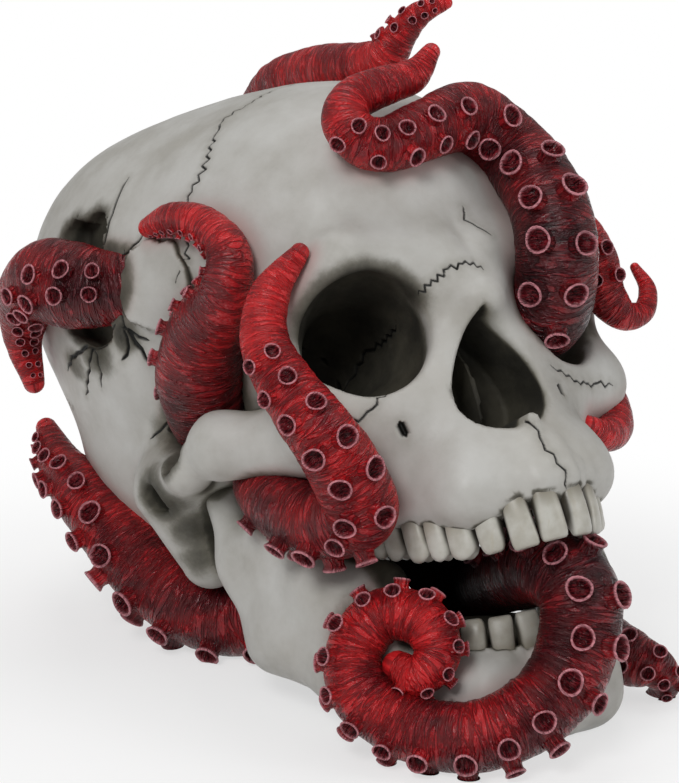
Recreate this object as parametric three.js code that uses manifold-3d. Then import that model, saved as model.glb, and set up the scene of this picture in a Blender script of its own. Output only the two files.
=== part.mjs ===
// Octopus skull statue: a cast skull with an open jaw and tooth rows, and ten suckered arms
// that are pegged and glued into it. The statue faces -Y and stands on its chin, its nape
// and the arms that reach the ground.

import * as THREE from "three";
import { mergeVertices } from "three/addons/utils/BufferGeometryUtils.js";
import Module from "manifold-3d";

const wasm = await Module();
wasm.setup();

// Skull sizes in millimetres, angles in degrees
const VAULT_BREADTH = 114;
const VAULT_LENGTH = 148;
const VAULT_HEIGHT = 112;
const VAULT_LIFT = 81.4;
const SKULL_LEAN = 30;
const JAW_OPENING = 13;
const ORBIT_HALF_WIDTH = 14;
const ORBIT_HALF_HEIGHT = 15.5;
const NOSE_HALF_WIDTH = 6.3;
const NOSE_HALF_HEIGHT = 10.5;
const NOSE_PARTITION_HALF_WIDTH = 1.5;
const CHEEK_ARCH_RADIUS = 6.2;
const BROW_RADIUS = 5.2;
const GUM_RADIUS = 6.8;
const EAR_HOLE_RADIUS = 3.6;
const EAR_HOLE_DEPTH = 24;
const MASTOID_RADIUS = 7.5;
const JAW_BAR_RADIUS = 6.3;
const JAW_PLATE_RADIUS = 5.5;
const CHIN_RADIUS = 7.5;
const BREAK_RADIUS = 13;
const BREAK_DEPTH = 6;

// Tooth sizes from the midline outwards, the widths in percent of the half row
const UPPER_TOOTH_WIDTHS = [14, 12.2, 11.8, 10.8, 10.3, 13.2, 12.5, 10.2];
const UPPER_TOOTH_HEIGHTS = [16.6, 15.8, 16, 14.8, 14.2, 13.4, 12.6, 11.2];
const LOWER_TOOTH_WIDTHS = [13.2, 13.4, 14.3, 14.5, 15, 18.8];
const LOWER_TOOTH_HEIGHTS = [10, 10, 10.2, 9.6, 9.2, 9];
const FRONT_TOOTH_DEPTH = 5.6;
const BACK_TOOTH_DEPTH = 7;
const TOOTH_BAR_DEPTH = 7;
const UPPER_TOOTH_LEAN = 2;
const LOWER_TOOTH_LEAN = 0.4;
const TOOTH_BAR_HEIGHT = 5;
const TOOTH_GROOVE_HEIGHT = 12;
const TOOTH_SIDES = 6;

// Arm and sucker proportions
const GLUE_GAP = 0.3;
const BONE_GAP = 0.45;
const ARM_SIDES = 7;
const ARM_RING_SHARE = 0.85;
const SHORTEST_RING_STEP = 3.4;
const LONGEST_RING_STEP = 7.2;
const SUCKER_SIDES = 5;
const SUCKER_RADIUS_SHARE = 0.33;
const SUCKER_PITCH_SHARE = 1.22;
const SUCKER_SEARCH_STEP = 0.5;
const SUCKER_SPREAD = 27;
const SMALLEST_SUCKER = 2;

// Facet sizes of the bones
const FACE_STEP = 6;
const VAULT_STEP = 14;
const JAW_STEP = 6.2;
const LEAST_LEVEL = 0.05;

// A place in the skull, in percent of the vault's half breadth, half length and half height
function at(across, back, up) {
  return new THREE.Vector3(
    (across * VAULT_BREADTH) / 200,
    (back * VAULT_LENGTH) / 200,
    (up * VAULT_HEIGHT) / 200,
  );
}

// Soft joins and cuts of rounded forms, each a signed distance with its inside negative
function blend(a, b, softness) {
  const overlap = Math.max(softness - Math.abs(a - b), 0) / softness;
  return Math.min(a, b) - (overlap * overlap * softness) / 4;
}

function ball(centre, rx, ry, rz) {
  return (x, y, z) => {
    const dx = (x - centre.x) / rx;
    const dy = (y - centre.y) / ry;
    const dz = (z - centre.z) / rz;
    const reach = Math.hypot(dx, dy, dz);
    const slope = Math.hypot(dx / rx, dy / ry, dz / rz);
    return slope > 0 ? (reach * (reach - 1)) / slope : -Math.min(rx, ry, rz);
  };
}

function rod(from, to, startRadius, endRadius) {
  const along = to.clone().sub(from);
  const lengthSquared = along.lengthSq();
  return (x, y, z) => {
    const px = x - from.x;
    const py = y - from.y;
    const pz = z - from.z;
    const share = (px * along.x + py * along.y + pz * along.z) / lengthSquared;
    const t = Math.min(Math.max(share, 0), 1);
    const gap = Math.hypot(px - along.x * t, py - along.y * t, pz - along.z * t);
    return gap - startRadius - (endRadius - startRadius) * t;
  };
}

function paired(form) {
  return (x, y, z) => form(Math.abs(x), y, z);
}

const add = (softness, form) => (d, x, y, z) => blend(d, form(x, y, z), softness);
const carve = (softness, form) => (d, x, y, z) => -blend(-d, form(x, y, z), softness);

function sculpt(first, steps) {
  return (x, y, z) => steps.reduce((d, step) => step(d, x, y, z), first(x, y, z));
}

const craniumForm = sculpt(ball(at(0, 14, 8), 57, 64, 54), [
  // Vault: forehead, nape, side swellings and base
  add(13, ball(at(0, -38, 0), 44, 45, 45)),
  add(14, ball(at(0, 47, -47), 49, 42, 44)),
  add(18, paired(ball(at(44, 38, 40), 29, 34, 31))),
  add(14, ball(at(0, 20, -78), 34, 45, 18)),
  add(9, paired(rod(at(78, 8, -72), at(70, 12, -104), 11.5, MASTOID_RADIUS))),
  add(9, paired(ball(at(70, -10, -70), 11, 12, 8))),
  // Face: core, brows, outer rims, cheek bones and lower rims
  add(12, ball(at(0, -66, -66), 31, 23, 31)),
  add(11, paired(rod(at(10, -96, -24), at(48, -88, -18), BROW_RADIUS, BROW_RADIUS))),
  add(9, paired(rod(at(48, -88, -18), at(74, -70, -36), BROW_RADIUS, BROW_RADIUS))),
  add(6, paired(rod(at(75, -70, -34), at(68, -72, -68), 5, 6))),
  add(8, paired(ball(at(57, -75, -80), 15, 10, 10))),
  add(6, paired(rod(at(60, -78, -74), at(24, -92, -68), 5, 4.5))),
  // Nose bridge and the bone beside it
  add(7, rod(at(0, -96, -34), at(0, -107, -56), 6, 5)),
  add(7, paired(rod(at(8, -94, -40), at(18, -92, -84), 5.5, 5.5))),
  // Upper jaw and its gum ridge
  add(9, ball(at(0, -78, -98), 24, 20, 15)),
  add(9, paired(rod(at(36, -82, -84), at(40, -68, -112), 8, 7.5))),
  add(8, paired(rod(at(0, -106, -119), at(26, -96, -118), GUM_RADIUS, GUM_RADIUS))),
  add(8, paired(rod(at(26, -96, -118), at(41, -60, -116), GUM_RADIUS, GUM_RADIUS))),
  // Temple hollows and the cheek arches that bridge them
  carve(9, paired(ball(at(96, -36, -42), 15, 22, 23))),
  add(5, paired(rod(at(68, -66, -80), at(90, -38, -72), CHEEK_ARCH_RADIUS, CHEEK_ARCH_RADIUS))),
  add(4.5, paired(rod(at(90, -38, -72), at(84, -2, -68), CHEEK_ARCH_RADIUS, CHEEK_ARCH_RADIUS))),
  // Eye sockets, nose opening and palate
  carve(3.5, paired(ball(at(44, -84, -48), ORBIT_HALF_WIDTH, 18, ORBIT_HALF_HEIGHT))),
  carve(5, paired(ball(at(36, -62, -46), 10, 20, 11))),
  carve(2.5, paired(ball(at(8, -100, -82), NOSE_HALF_WIDTH, 16, NOSE_HALF_HEIGHT))),
  carve(2.5, ball(at(0, -100, -68), NOSE_HALF_WIDTH, 14.5, NOSE_HALF_HEIGHT)),
  carve(5, ball(at(0, -66, -142), 18, 28, 13.5)),
  // Broken places that two of the arms burst out of
  carve(2, ball(at(-98, -1, 24), BREAK_DEPTH, BREAK_RADIUS, BREAK_RADIUS)),
  carve(2, ball(at(-74, -13, -48), BREAK_DEPTH, BREAK_RADIUS, BREAK_RADIUS)),
]);

// The jaw is shaped closed, round the middle of its hinge line
const jawForm = sculpt(paired(rod(at(71, 1, -2), at(71, -6, -32), JAW_PLATE_RADIUS, JAW_PLATE_RADIUS)), [
  add(8, paired(rod(at(71, -6, -32), at(67, -11, -65), JAW_PLATE_RADIUS, JAW_BAR_RADIUS))),
  add(7, paired(rod(at(67, -29, 3), at(63, -34, -39), 4, JAW_PLATE_RADIUS))),
  add(9, paired(rod(at(68, -20, -23), at(65, -24, -61), JAW_BAR_RADIUS, JAW_BAR_RADIUS))),
  add(8, paired(rod(at(65, -24, -61), at(59, -46, -81), JAW_BAR_RADIUS, JAW_PLATE_RADIUS))),
  add(8, paired(rod(at(67, -17, -65), at(57, -46, -82), JAW_BAR_RADIUS, JAW_BAR_RADIUS))),
  add(7, paired(rod(at(57, -46, -82), at(25, -76, -103), JAW_BAR_RADIUS, CHIN_RADIUS))),
  add(7, paired(rod(at(25, -76, -103), at(0, -82, -106), CHIN_RADIUS, CHIN_RADIUS))),
  add(7, paired(rod(at(59, -44, -76), at(43, -62, -84), JAW_PLATE_RADIUS, JAW_PLATE_RADIUS))),
  add(7, paired(rod(at(43, -62, -84), at(22, -79, -87), JAW_PLATE_RADIUS, JAW_PLATE_RADIUS))),
  add(7, paired(rod(at(22, -79, -87), at(0, -84, -89), JAW_PLATE_RADIUS, JAW_PLATE_RADIUS))),
  add(8, paired(rod(at(43, -59, -92), at(0, -80, -100), JAW_BAR_RADIUS, JAW_BAR_RADIUS))),
]);

const JAW_HINGE = at(0, -13, -82);
const jawPlace = new THREE.Matrix4()
  .makeRotationX(THREE.MathUtils.degToRad(JAW_OPENING))
  .setPosition(JAW_HINGE);

// Grid lines that run fine between two marks and coarse outside them, with a spare line at each end
function gradedLines(from, fineFrom, fineTo, to, fine, coarse) {
  const lines = [from - coarse];
  const fill = (start, end, step) => {
    const count = Math.round((end - start) / step);
    for (let i = 0; i < count; i += 1) {
      lines.push(start + ((end - start) * i) / count);
    }
  };
  fill(from, fineFrom, coarse);
  fill(fineFrom, fineTo, fine);
  fill(fineTo, to, coarse);
  lines.push(to, to + coarse);
  return lines;
}

// The skin of a form. Each cell that the skin crosses has one corner for each loop of crossed
// edges, and each crossed edge has one face between its four cells.
const CELL_SIDES = [[0, 2, 6, 4], [1, 3, 7, 5], [0, 1, 5, 4], [2, 3, 7, 6], [0, 1, 3, 2], [4, 5, 7, 6]];

function edgeKey(a, b) {
  return Math.min(a, b) * 8 + Math.max(a, b);
}

function skin(form, xs, ys, zs) {
  const node = (i, j, k) => (i * ys.length + j) * zs.length + k;
  const values = new Float64Array(xs.length * ys.length * zs.length);
  xs.forEach((x, i) => ys.forEach((y, j) => zs.forEach((z, k) => {
    const level = form(x, y, z);
    values[node(i, j, k)] = level < 0 ? Math.min(level, -LEAST_LEVEL) : Math.max(level, LEAST_LEVEL);
  })));
  const points = [];

  const traceLoops = (i, j, k) => {
    const spot = (c) => [i + (c & 1), j + ((c >> 1) & 1), k + (c >> 2)];
    const level = (c) => values[node(...spot(c))];
    const place = (c) => {
      const [m, n, o] = spot(c);
      return new THREE.Vector3(xs[m], ys[n], zs[o]);
    };
    const links = new Map();
    const link = (from, to) => links.set(from, [...(links.get(from) ?? []), to]);
    CELL_SIDES.forEach((side) => side.forEach((c, m) => {
      const beyond = side[(m + 1) % 4];
      if (level(c) < 0 && level(beyond) >= 0) {
        const leaving = edgeKey(c, beyond);
        const bridged = side.reduce((sum, corner) => sum + level(corner), 0) < 0;
        const opposite = side[(m + 2) % 4];
        let entering = edgeKey(beyond, opposite);
        if (!(bridged && level(opposite) < 0)) {
          let start = m;
          while (level(side[(start + 3) % 4]) < 0) {
            start += 3;
          }
          entering = edgeKey(side[start % 4], side[(start + 3) % 4]);
        }
        link(leaving, entering);
        link(entering, leaving);
      }
    }));
    const corners = new Map();
    links.forEach((_, first) => {
      if (corners.has(first)) {
        return;
      }
      const loop = [first];
      corners.set(first, points.length);
      for (let n = 0; n < loop.length; n += 1) {
        links.get(loop[n]).filter((edge) => !corners.has(edge)).forEach((edge) => {
          corners.set(edge, points.length);
          loop.push(edge);
        });
      }
      const middle = new THREE.Vector3();
      loop.forEach((edge) => {
        const a = edge >> 3;
        const b = edge & 7;
        middle.add(place(a).lerp(place(b), level(a) / (level(a) - level(b))));
      });
      points.push(middle.divideScalar(loop.length));
    });
    return corners;
  };

  const traced = new Map();
  const cornersOf = (i, j, k) => {
    const key = node(i, j, k);
    if (!traced.has(key)) {
      traced.set(key, traceLoops(i, j, k));
    }
    return traced.get(key);
  };
  const faces = [];
  const addFace = (a, b, c, d) => {
    const shortWay = points[a].distanceTo(points[c]) < points[b].distanceTo(points[d]);
    faces.push(...(shortWay ? [a, b, c, a, c, d] : [a, b, d, b, c, d]));
  };
  const addEdge = (i, j, k, axis) => {
    const next = [i, j, k];
    next[axis] += 1;
    const inside = values[node(i, j, k)] < 0;
    if (inside === values[node(...next)] < 0) {
      return;
    }
    const p = (axis + 1) % 3;
    const q = (axis + 2) % 3;
    const round = [[1, 1], [0, 1], [0, 0], [1, 0]].map(([m, n]) => {
      const cell = [i, j, k];
      cell[p] -= m;
      cell[q] -= n;
      const start = (m << p) + (n << q);
      return cornersOf(...cell).get(edgeKey(start, start + (1 << axis)));
    });
    addFace(...(inside ? round : round.reverse()));
  };
  for (let i = 1; i < xs.length - 1; i += 1) {
    for (let j = 1; j < ys.length - 1; j += 1) {
      for (let k = 1; k < zs.length - 1; k += 1) {
        [0, 1, 2].forEach((axis) => addEdge(i, j, k, axis));
      }
    }
  }
  const geometry = new THREE.BufferGeometry().setFromPoints(points);
  geometry.setIndex(faces);
  return geometry;
}

// A closed skin over a row of rings that have the same number of points
function loft(rings) {
  const count = rings[0].length;
  const faces = [];
  for (let r = 0; r + 1 < rings.length; r += 1) {
    for (let s = 0; s < count; s += 1) {
      const a = r * count + s;
      const b = r * count + ((s + 1) % count);
      faces.push(a, b, b + count, a, b + count, a + count);
    }
  }
  const last = (rings.length - 1) * count;
  for (let s = 1; s + 1 < count; s += 1) {
    faces.push(0, s + 1, s, last, last + s, last + s + 1);
  }
  const geometry = new THREE.BufferGeometry().setFromPoints(rings.flat());
  geometry.setIndex(faces);
  return geometry;
}

// Geometry to solid and back. A ready-made shape has seams, which are closed first.
function solid(geometry) {
  const seamed = geometry.hasAttribute("uv");
  const bare = geometry.clone();
  bare.deleteAttribute("normal");
  bare.deleteAttribute("uv");
  const closed = seamed ? mergeVertices(bare) : bare;
  return new wasm.Manifold(new wasm.Mesh({
    numProp: 3,
    vertProperties: new Float32Array(closed.attributes.position.array),
    triVerts: new Uint32Array(closed.index.array),
  }));
}

// The main body of a solid, without the chips that a cut can leave
function mainBody(body) {
  return body.decompose().sort((a, b) => b.volume() - a.volume())[0];
}

function surface(body) {
  const mesh = body.getMesh();
  const geometry = new THREE.BufferGeometry();
  geometry.setAttribute("position", new THREE.BufferAttribute(mesh.vertProperties, 3));
  geometry.setIndex(new THREE.BufferAttribute(mesh.triVerts, 1));
  geometry.computeVertexNormals();
  return geometry;
}

// A skin with each corner moved out by a small distance
function grown(geometry, distance) {
  const larger = geometry.clone();
  larger.computeVertexNormals();
  const { position, normal } = larger.attributes;
  for (let i = 0; i < position.count; i += 1) {
    const out = new THREE.Vector3().fromBufferAttribute(normal, i).multiplyScalar(distance);
    const { x, y, z } = new THREE.Vector3().fromBufferAttribute(position, i).add(out);
    position.setXYZ(i, x, y, z);
  }
  return larger;
}

function craniumSkin() {
  const edge = at(106, 0, 0).x;
  const front = at(0, -116, 0).y;
  const low = at(0, 0, -134).z;
  const xs = gradedLines(-edge, -edge, edge, edge, FACE_STEP, VAULT_STEP);
  const ys = gradedLines(front, front, at(0, -56, 0).y, at(0, 112, 0).y, FACE_STEP, VAULT_STEP);
  const zs = gradedLines(low, low, at(0, 0, -14).z, at(0, 0, 112).z, FACE_STEP, VAULT_STEP);
  return skin(craniumForm, xs, ys, zs);
}

function mandibleSkin() {
  const edge = at(88, 0, 0).x;
  const front = at(0, -98, 0).y;
  const rear = at(0, 10, 0).y;
  const low = at(0, 0, -124).z;
  const high = at(0, 0, 14).z;
  const xs = gradedLines(-edge, -edge, edge, edge, JAW_STEP, JAW_STEP);
  const ys = gradedLines(front, front, rear, rear, JAW_STEP, JAW_STEP);
  const zs = gradedLines(low, low, high, high, JAW_STEP, JAW_STEP);
  return skin(jawForm, xs, ys, zs).applyMatrix4(jawPlace);
}

// The bar that a row of teeth stands on, bent round half an oval and sunk in the gum, or its groove
function toothBar(row, grow, height) {
  const rings = [];
  const steps = row.widths.length;
  const reach = row.widths.reduce((sum, width) => sum + width, 0) / 100;
  const end = reach + grow / row.side.getLength();
  for (let i = -steps; i <= steps; i += 1) {
    const spot = row.side.getPointAt((Math.abs(i) / steps) * end);
    const heading = row.side.getTangentAt((Math.abs(i) / steps) * end);
    const half = TOOTH_BAR_DEPTH / 2 + grow;
    const foot = row.gum - row.biting * (TOOTH_BAR_HEIGHT / 2 + grow);
    const top = foot + row.biting * (height + 2 * grow);
    const [low, high] = [Math.min(foot, top), Math.max(foot, top)];
    rings.push([[-1, low], [1, low], [1, high], [-1, high]].map(([out, z]) => new THREE.Vector3(
      (i < 0 ? -1 : 1) * (spot.x - heading.y * half * out),
      spot.y + heading.x * half * out,
      z,
    )));
  }
  return solid(loft(rings));
}

// A crown with a narrow neck, a full belly and a thin biting edge
function toothCrown(row, spot, heading, width, depth, height, mirror, grow) {
  const sections = [
    { z: 0, wide: 0.7, deep: 0.6, lean: 0 },
    { z: height * 0.55, wide: 0.98, deep: 1, lean: 0.6 },
    { z: height + grow, wide: 0.84, deep: 0.42, lean: 1 },
  ];
  const rings = sections.map(({ z, wide, deep, lean }) => {
    const ring = [];
    for (let s = 0; s < TOOTH_SIDES; s += 1) {
      const turn = (s * 2 * Math.PI) / TOOTH_SIDES;
      const along = Math.cos(turn) * ((width * wide) / 2 + grow);
      const out = Math.sin(turn) * ((depth * deep) / 2 + grow) - lean * row.lean;
      const x = spot.x + heading.x * along - heading.y * out;
      const y = spot.y + heading.y * along + heading.x * out;
      ring.push(new THREE.Vector3(mirror * x, y, row.gum + row.biting * z));
    }
    return mirror * row.biting > 0 ? ring : ring.reverse();
  });
  return solid(loft(rings));
}

function toothRow(row, grow) {
  let teeth = toothBar(row, grow, TOOTH_BAR_HEIGHT);
  let travelled = 0;
  row.widths.forEach((part, i) => {
    const share = (travelled + part / 2) / 100;
    travelled += part;
    const width = (part / 100) * row.side.getLength();
    const spot = row.side.getPointAt(share);
    const heading = row.side.getTangentAt(share);
    const depth = THREE.MathUtils.lerp(FRONT_TOOTH_DEPTH, BACK_TOOTH_DEPTH, i / row.widths.length);
    [1, -1].forEach((mirror) => {
      teeth = teeth.add(toothCrown(row, spot, heading, width, depth, row.heights[i], mirror, grow));
    });
  });
  return teeth;
}

// The half oval of each row, its gum line and which way it bites
function toothSide(halfWidth, front, rear) {
  return new THREE.EllipseCurve(0, rear.y, halfWidth.x, rear.y - front.y, -Math.PI / 2, 0);
}

const upperRow = {
  side: toothSide(at(40, 0, 0), at(0, -108, 0), at(0, -45, 0)),
  gum: at(0, 0, -121).z,
  biting: -1,
  lean: UPPER_TOOTH_LEAN,
  widths: UPPER_TOOTH_WIDTHS,
  heights: UPPER_TOOTH_HEIGHTS,
};
const lowerRow = {
  side: toothSide(at(39, 0, 0), at(0, -84, 0), at(0, -38, 0)),
  gum: at(0, 0, -82).z,
  biting: 1,
  lean: LOWER_TOOTH_LEAN,
  widths: LOWER_TOOTH_WIDTHS,
  heights: LOWER_TOOTH_HEIGHTS,
};

// Each arm: its place in the skull, its radius and the way its suckers face, from peg to tip.
// A row is across, back, up in percent, the radius in millimetres and the turn in degrees.
const ARMS = {
  nape_arm: { peg: 10, suckers: [0.18, 1], route: [
    [-78, -14, 19, 7.5, 0], [-95, -3, 23, 9.6, 9], [-104, 6, 29, 11.4, 5],
    [-109, 17, 34, 11, -28], [-111, 30, 33, 8.6, -78], [-110, 46, 21, 5.2, -103],
    [-107, 52, 0, 2.8, -116]] },
  temple_arm: { peg: 18, suckers: [0.2, 1], route: [
    [-60, 2, -53, 8.4, -68], [-72, -15, -45, 10.1, -69], [-80, -28, -33, 10.9, -70],
    [-82, -43, -20, 9.4, -67], [-82, -61, -12, 6.4, -62], [-79, -65, 2, 5.5, -57],
    [-80, -58, 18, 4.6, -70], [-85, -45, 29, 4, -97], [-88, -32, 32, 2.6, -113]] },
  cheek_arm: { peg: 20, suckers: [0.26, 0.82], route: [
    [-41, -24, -55, 5.9, -125], [-69, -34, -84, 6.6, -125], [-75, -51, -102, 8.2, -125],
    [-69, -65, -115, 8.8, -135], [-64, -81, -117, 8.4, -145], [-72, -89, -101, 8.4, -120],
    [-81, -92, -84, 7.7, -130], [-85, -86, -63, 6.6, -145], [-86, -82, -42, 5.6, -135],
    [-79, -83, -24, 4.7, -120], [-65, -89, -10, 2.2, -115]] },
  brow_arm: { peg: 30, suckers: [0.16, 0.83], route: [
    [30, -28, -42, 6.4, -104], [40, -64, -48, 7.6, -104], [43, -84, -52, 9, -103],
    [37, -101, -47, 9.6, -69], [36, -110, -32, 9.7, -48], [39, -110, -16, 9.6, -51],
    [42, -105, 0, 9.3, -56], [42, -97, 20, 9, -69], [25, -98, 36, 8.5, -69], [-2, -101, 31, 7, -49],
    [-21, -100, 27, 6.4, -53], [-30, -98, 31, 6, -60], [-34, -97, 40, 5.6, -66], [-28, -97, 49, 5.2, -66],
    [-14, -99, 53, 4.8, -60], [3, -99, 57, 4, -40], [12, -102, 65, 2.2, 20]] },
  crown_arm: { peg: 17, suckers: [0.7, 1], route: [
    [19, 29, 74, 7.2, -45], [22, 23, 99, 7.5, -45], [21, 2, 107, 7.9, -45], [24, -26, 100, 7.2, -65],
    [26, -46, 91, 6, -70], [29, -59, 88, 5, -4], [33, -66, 94, 4.1, 73], [39, -73, 99, 3.2, 121],
    [49, -79, 100, 1.5, 128]] },
  jaw_arm: { peg: 15, suckers: [0.28, 1], route: [
    [-22, 10, -84, 7.2, 146], [-28, 10, -112, 8.2, 146], [-40, 14, -129, 9.2, 146],
    [-56, 25, -130, 10.1, 146], [-69, 34, -119, 10.6, 147], [-80, 44, -98, 10.2, 160],
    [-87, 53, -74, 9.2, 205], [-90, 64, -51, 8, 225], [-89, 79, -30, 6, 195], [-86, 87, -11, 3, 185]] },
  left_temple_arm: { peg: 22, suckers: [0.2, 0.66], route: [
    [62, -52, 4, 4.4, 142], [66, -75, -3, 4.8, 141], [71, -88, -14, 5.3, 136], [77, -87, -29, 5.8, 120],
    [80, -84, -43, 5.2, 115], [87, -84, -54, 3.8, 128], [96, -85, -54, 2.8, 205],
    [102, -85, -44, 2.2, 249], [100, -84, -33, 1.2, 242]] },
  left_cheek_arm: { peg: 12, suckers: [1, 1], route: [
    [46, -34, -26, 5.4, 0], [67, -44, -37, 5.8, 0], [76, -58, -57, 6.2, 0],
    [77, -68, -80, 6.2, 0], [70, -77, -99, 5.4, 0], [58, -84, -104, 4, 0],
    [47, -87, -99, 2.4, 0]] },
  mouth_arm: { peg: 15, suckers: [0.28, 1], route: [
    [6, -5, -90, 7.2, -150], [10, -16, -123, 7.2, -150], [12, -29, -145, 7.8, -150],
    [10, -66, -151, 8.8, -150], [8, -89, -155, 9.3, -155], [7, -101, -170, 9.4, -174],
    [2, -100, -187, 9.3, -180], [-8, -97, -202, 9, -187], [-24, -91, -212, 8.6, -204],
    [-44, -82, -214, 8.1, -222], [-61, -68, -202, 7.6, -232], [-72, -62, -184, 7.1, -232],
    [-68, -62, -166, 6.7, -217], [-56, -69, -157, 6.3, -207], [-46, -78, -166, 5.6, -237],
    [-46, -79, -179, 4.6, -237], [-54, -75, -185, 3.6, -242], [-58, -70, -179, 2.4, -227]] },
  chin_arm: { peg: 12, suckers: [0.46, 1], route: [
    [56, -46, -183, 8.2, -155], [55, -58, -191, 7.9, -155], [59, -65, -198, 6.6, -154],
    [65, -68, -204, 5, -153], [70, -65, -211, 3.6, -138], [70, -58, -214, 2.4, -128]] },
};

// Rings along an arm, closer together where it is thin
function armRings(route) {
  const curve = new THREE.CatmullRomCurve3(route.map(([u, v, w]) => at(u, v, w)));
  const length = curve.getLength();
  const between = (column, t) => {
    const place = t * (route.length - 1);
    const row = Math.min(Math.floor(place), route.length - 2);
    return THREE.MathUtils.lerp(route[row][column], route[row + 1][column], place - row);
  };
  const rings = [];
  let travelled = 0;
  while (travelled < length) {
    const t = curve.getUtoTmapping(travelled / length);
    const centre = curve.getPoint(t);
    const heading = curve.getTangent(t);
    const radius = between(3, t);
    const last = rings.at(-1);
    const turn = new THREE.Quaternion();
    if (last) {
      turn.setFromUnitVectors(last.heading, heading);
    }
    const side = (last ? last.side : centre).clone().applyQuaternion(turn);
    side.addScaledVector(heading, -side.dot(heading)).normalize();
    const face = side.clone().applyAxisAngle(heading, THREE.MathUtils.degToRad(between(4, t)));
    rings.push({ centre, heading, side, face, radius, travelled });
    travelled += THREE.MathUtils.clamp(radius * ARM_RING_SHARE, SHORTEST_RING_STEP, LONGEST_RING_STEP);
  }
  return { rings, length };
}

function armTube(rings, grow, roundTip) {
  const stations = rings.map((ring) => ({ ...ring, radius: ring.radius + grow }));
  const end = stations.at(-1);
  if (roundTip) {
    const domed = [[0.55, 0.82], [0.95, 0.3]];
    domed.forEach(([ahead, share]) => stations.push({
      ...end,
      centre: end.centre.clone().addScaledVector(end.heading, end.radius * ahead),
      radius: end.radius * share,
    }));
  } else {
    end.centre = end.centre.clone().addScaledVector(end.heading, grow);
  }
  stations[0].centre = stations[0].centre.clone().addScaledVector(stations[0].heading, -grow);
  return loft(stations.map(({ centre, heading, side, radius }) => {
    const ring = [];
    for (let s = 0; s < ARM_SIDES; s += 1) {
      const spoke = side.clone().applyAxisAngle(heading, (s * 2 * Math.PI) / ARM_SIDES);
      ring.push(spoke.multiplyScalar(radius).add(centre));
    }
    return ring;
  }));
}

// A cup on a short neck, its foot sunk in the arm
function sucker(radius) {
  const profile = [[0, -0.8], [0.84, -0.8], [1, 0.38], [0, -0.24]];
  return new THREE.LatheGeometry(
    profile.map(([out, up]) => new THREE.Vector2(out * radius, up * radius)),
    SUCKER_SIDES,
  );
}

// Pairs of cups, each set one pitch from the last along the face of the arm
function suckersOn(rings, length, [from, to]) {
  const cups = [];
  const stop = Math.min(to * length, rings.at(-1).travelled);
  let lastSpot = null;
  for (let travelled = from * length; travelled < stop; travelled += SUCKER_SEARCH_STEP) {
    const next = rings.findIndex((ring) => ring.travelled > travelled);
    const a = rings[next - 1];
    const b = rings[next];
    const share = (travelled - a.travelled) / (b.travelled - a.travelled);
    const radius = THREE.MathUtils.lerp(a.radius, b.radius, share);
    const size = radius * SUCKER_RADIUS_SHARE;
    const centre = a.centre.clone().lerp(b.centre, share);
    const heading = a.heading.clone().lerp(b.heading, share).normalize();
    const face = a.face.clone().lerp(b.face, share);
    const spot = centre.clone().addScaledVector(face, radius);
    const tooNear = lastSpot && spot.distanceTo(lastSpot) < radius * SUCKER_PITCH_SHARE;
    if (tooNear || size < SMALLEST_SUCKER) {
      continue;
    }
    lastSpot = spot;
    [-SUCKER_SPREAD, SUCKER_SPREAD].forEach((spread) => {
      const out = face.clone().applyAxisAngle(heading, THREE.MathUtils.degToRad(spread));
      out.addScaledVector(heading, -out.dot(heading)).normalize();
      const upright = new THREE.Quaternion().setFromUnitVectors(new THREE.Vector3(0, 1, 0), out);
      const seat = centre.clone().addScaledVector(out, radius);
      cups.push(sucker(size).applyQuaternion(upright).translate(seat.x, seat.y, seat.z));
    });
  }
  return cups;
}

// The ground, as a block that everything is trimmed to, in the leaning skull's own frame
const statue = new THREE.Group();
statue.rotation.x = -THREE.MathUtils.degToRad(SKULL_LEAN);
statue.position.z = VAULT_LIFT;
statue.updateMatrix();
const room = 4 * VAULT_LENGTH;
const aboveGround = solid(
  new THREE.BoxGeometry(room, room, room)
    .translate(0, 0, room / 2)
    .applyMatrix4(statue.matrix.clone().invert()),
);

// The arms with their suckers, before they are trimmed to the bones
const arms = Object.entries(ARMS).map(([name, { peg, suckers, route }]) => {
  const { rings, length } = armRings(route);
  const pegRings = rings.slice(0, rings.findIndex((ring) => ring.travelled > peg) + 1);
  const body = suckersOn(rings, length, suckers)
    .reduce((joined, cup) => joined.add(solid(cup)), solid(armTube(rings, 0, true)));
  return {
    name,
    body,
    outline: solid(armTube(rings, GLUE_GAP, true)),
    socket: solid(armTube(pegRings, GLUE_GAP, false)),
    host: name === "chin_arm" ? "mandible" : "cranium",
  };
});

function earHole(side) {
  const hole = new THREE.CylinderGeometry(EAR_HOLE_RADIUS, EAR_HOLE_RADIUS, EAR_HOLE_DEPTH, 10);
  const mouth = at(side * 90, 2, -76);
  return solid(hole.rotateZ(Math.PI / 2).translate(mouth.x, mouth.y, mouth.z));
}

// The thin upright wall in the nose opening
function nosePartition() {
  const wall = new THREE.SphereGeometry(1, 10, 8);
  const size = at(0, 14, 23);
  const middle = at(0, -84, -80);
  return solid(wall.scale(NOSE_PARTITION_HALF_WIDTH, size.y, size.z).translate(middle.x, middle.y, middle.z));
}

function socketsIn(bone, host) {
  return arms.filter((arm) => arm.host === host).reduce((left, arm) => left.subtract(arm.socket), bone);
}

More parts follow.
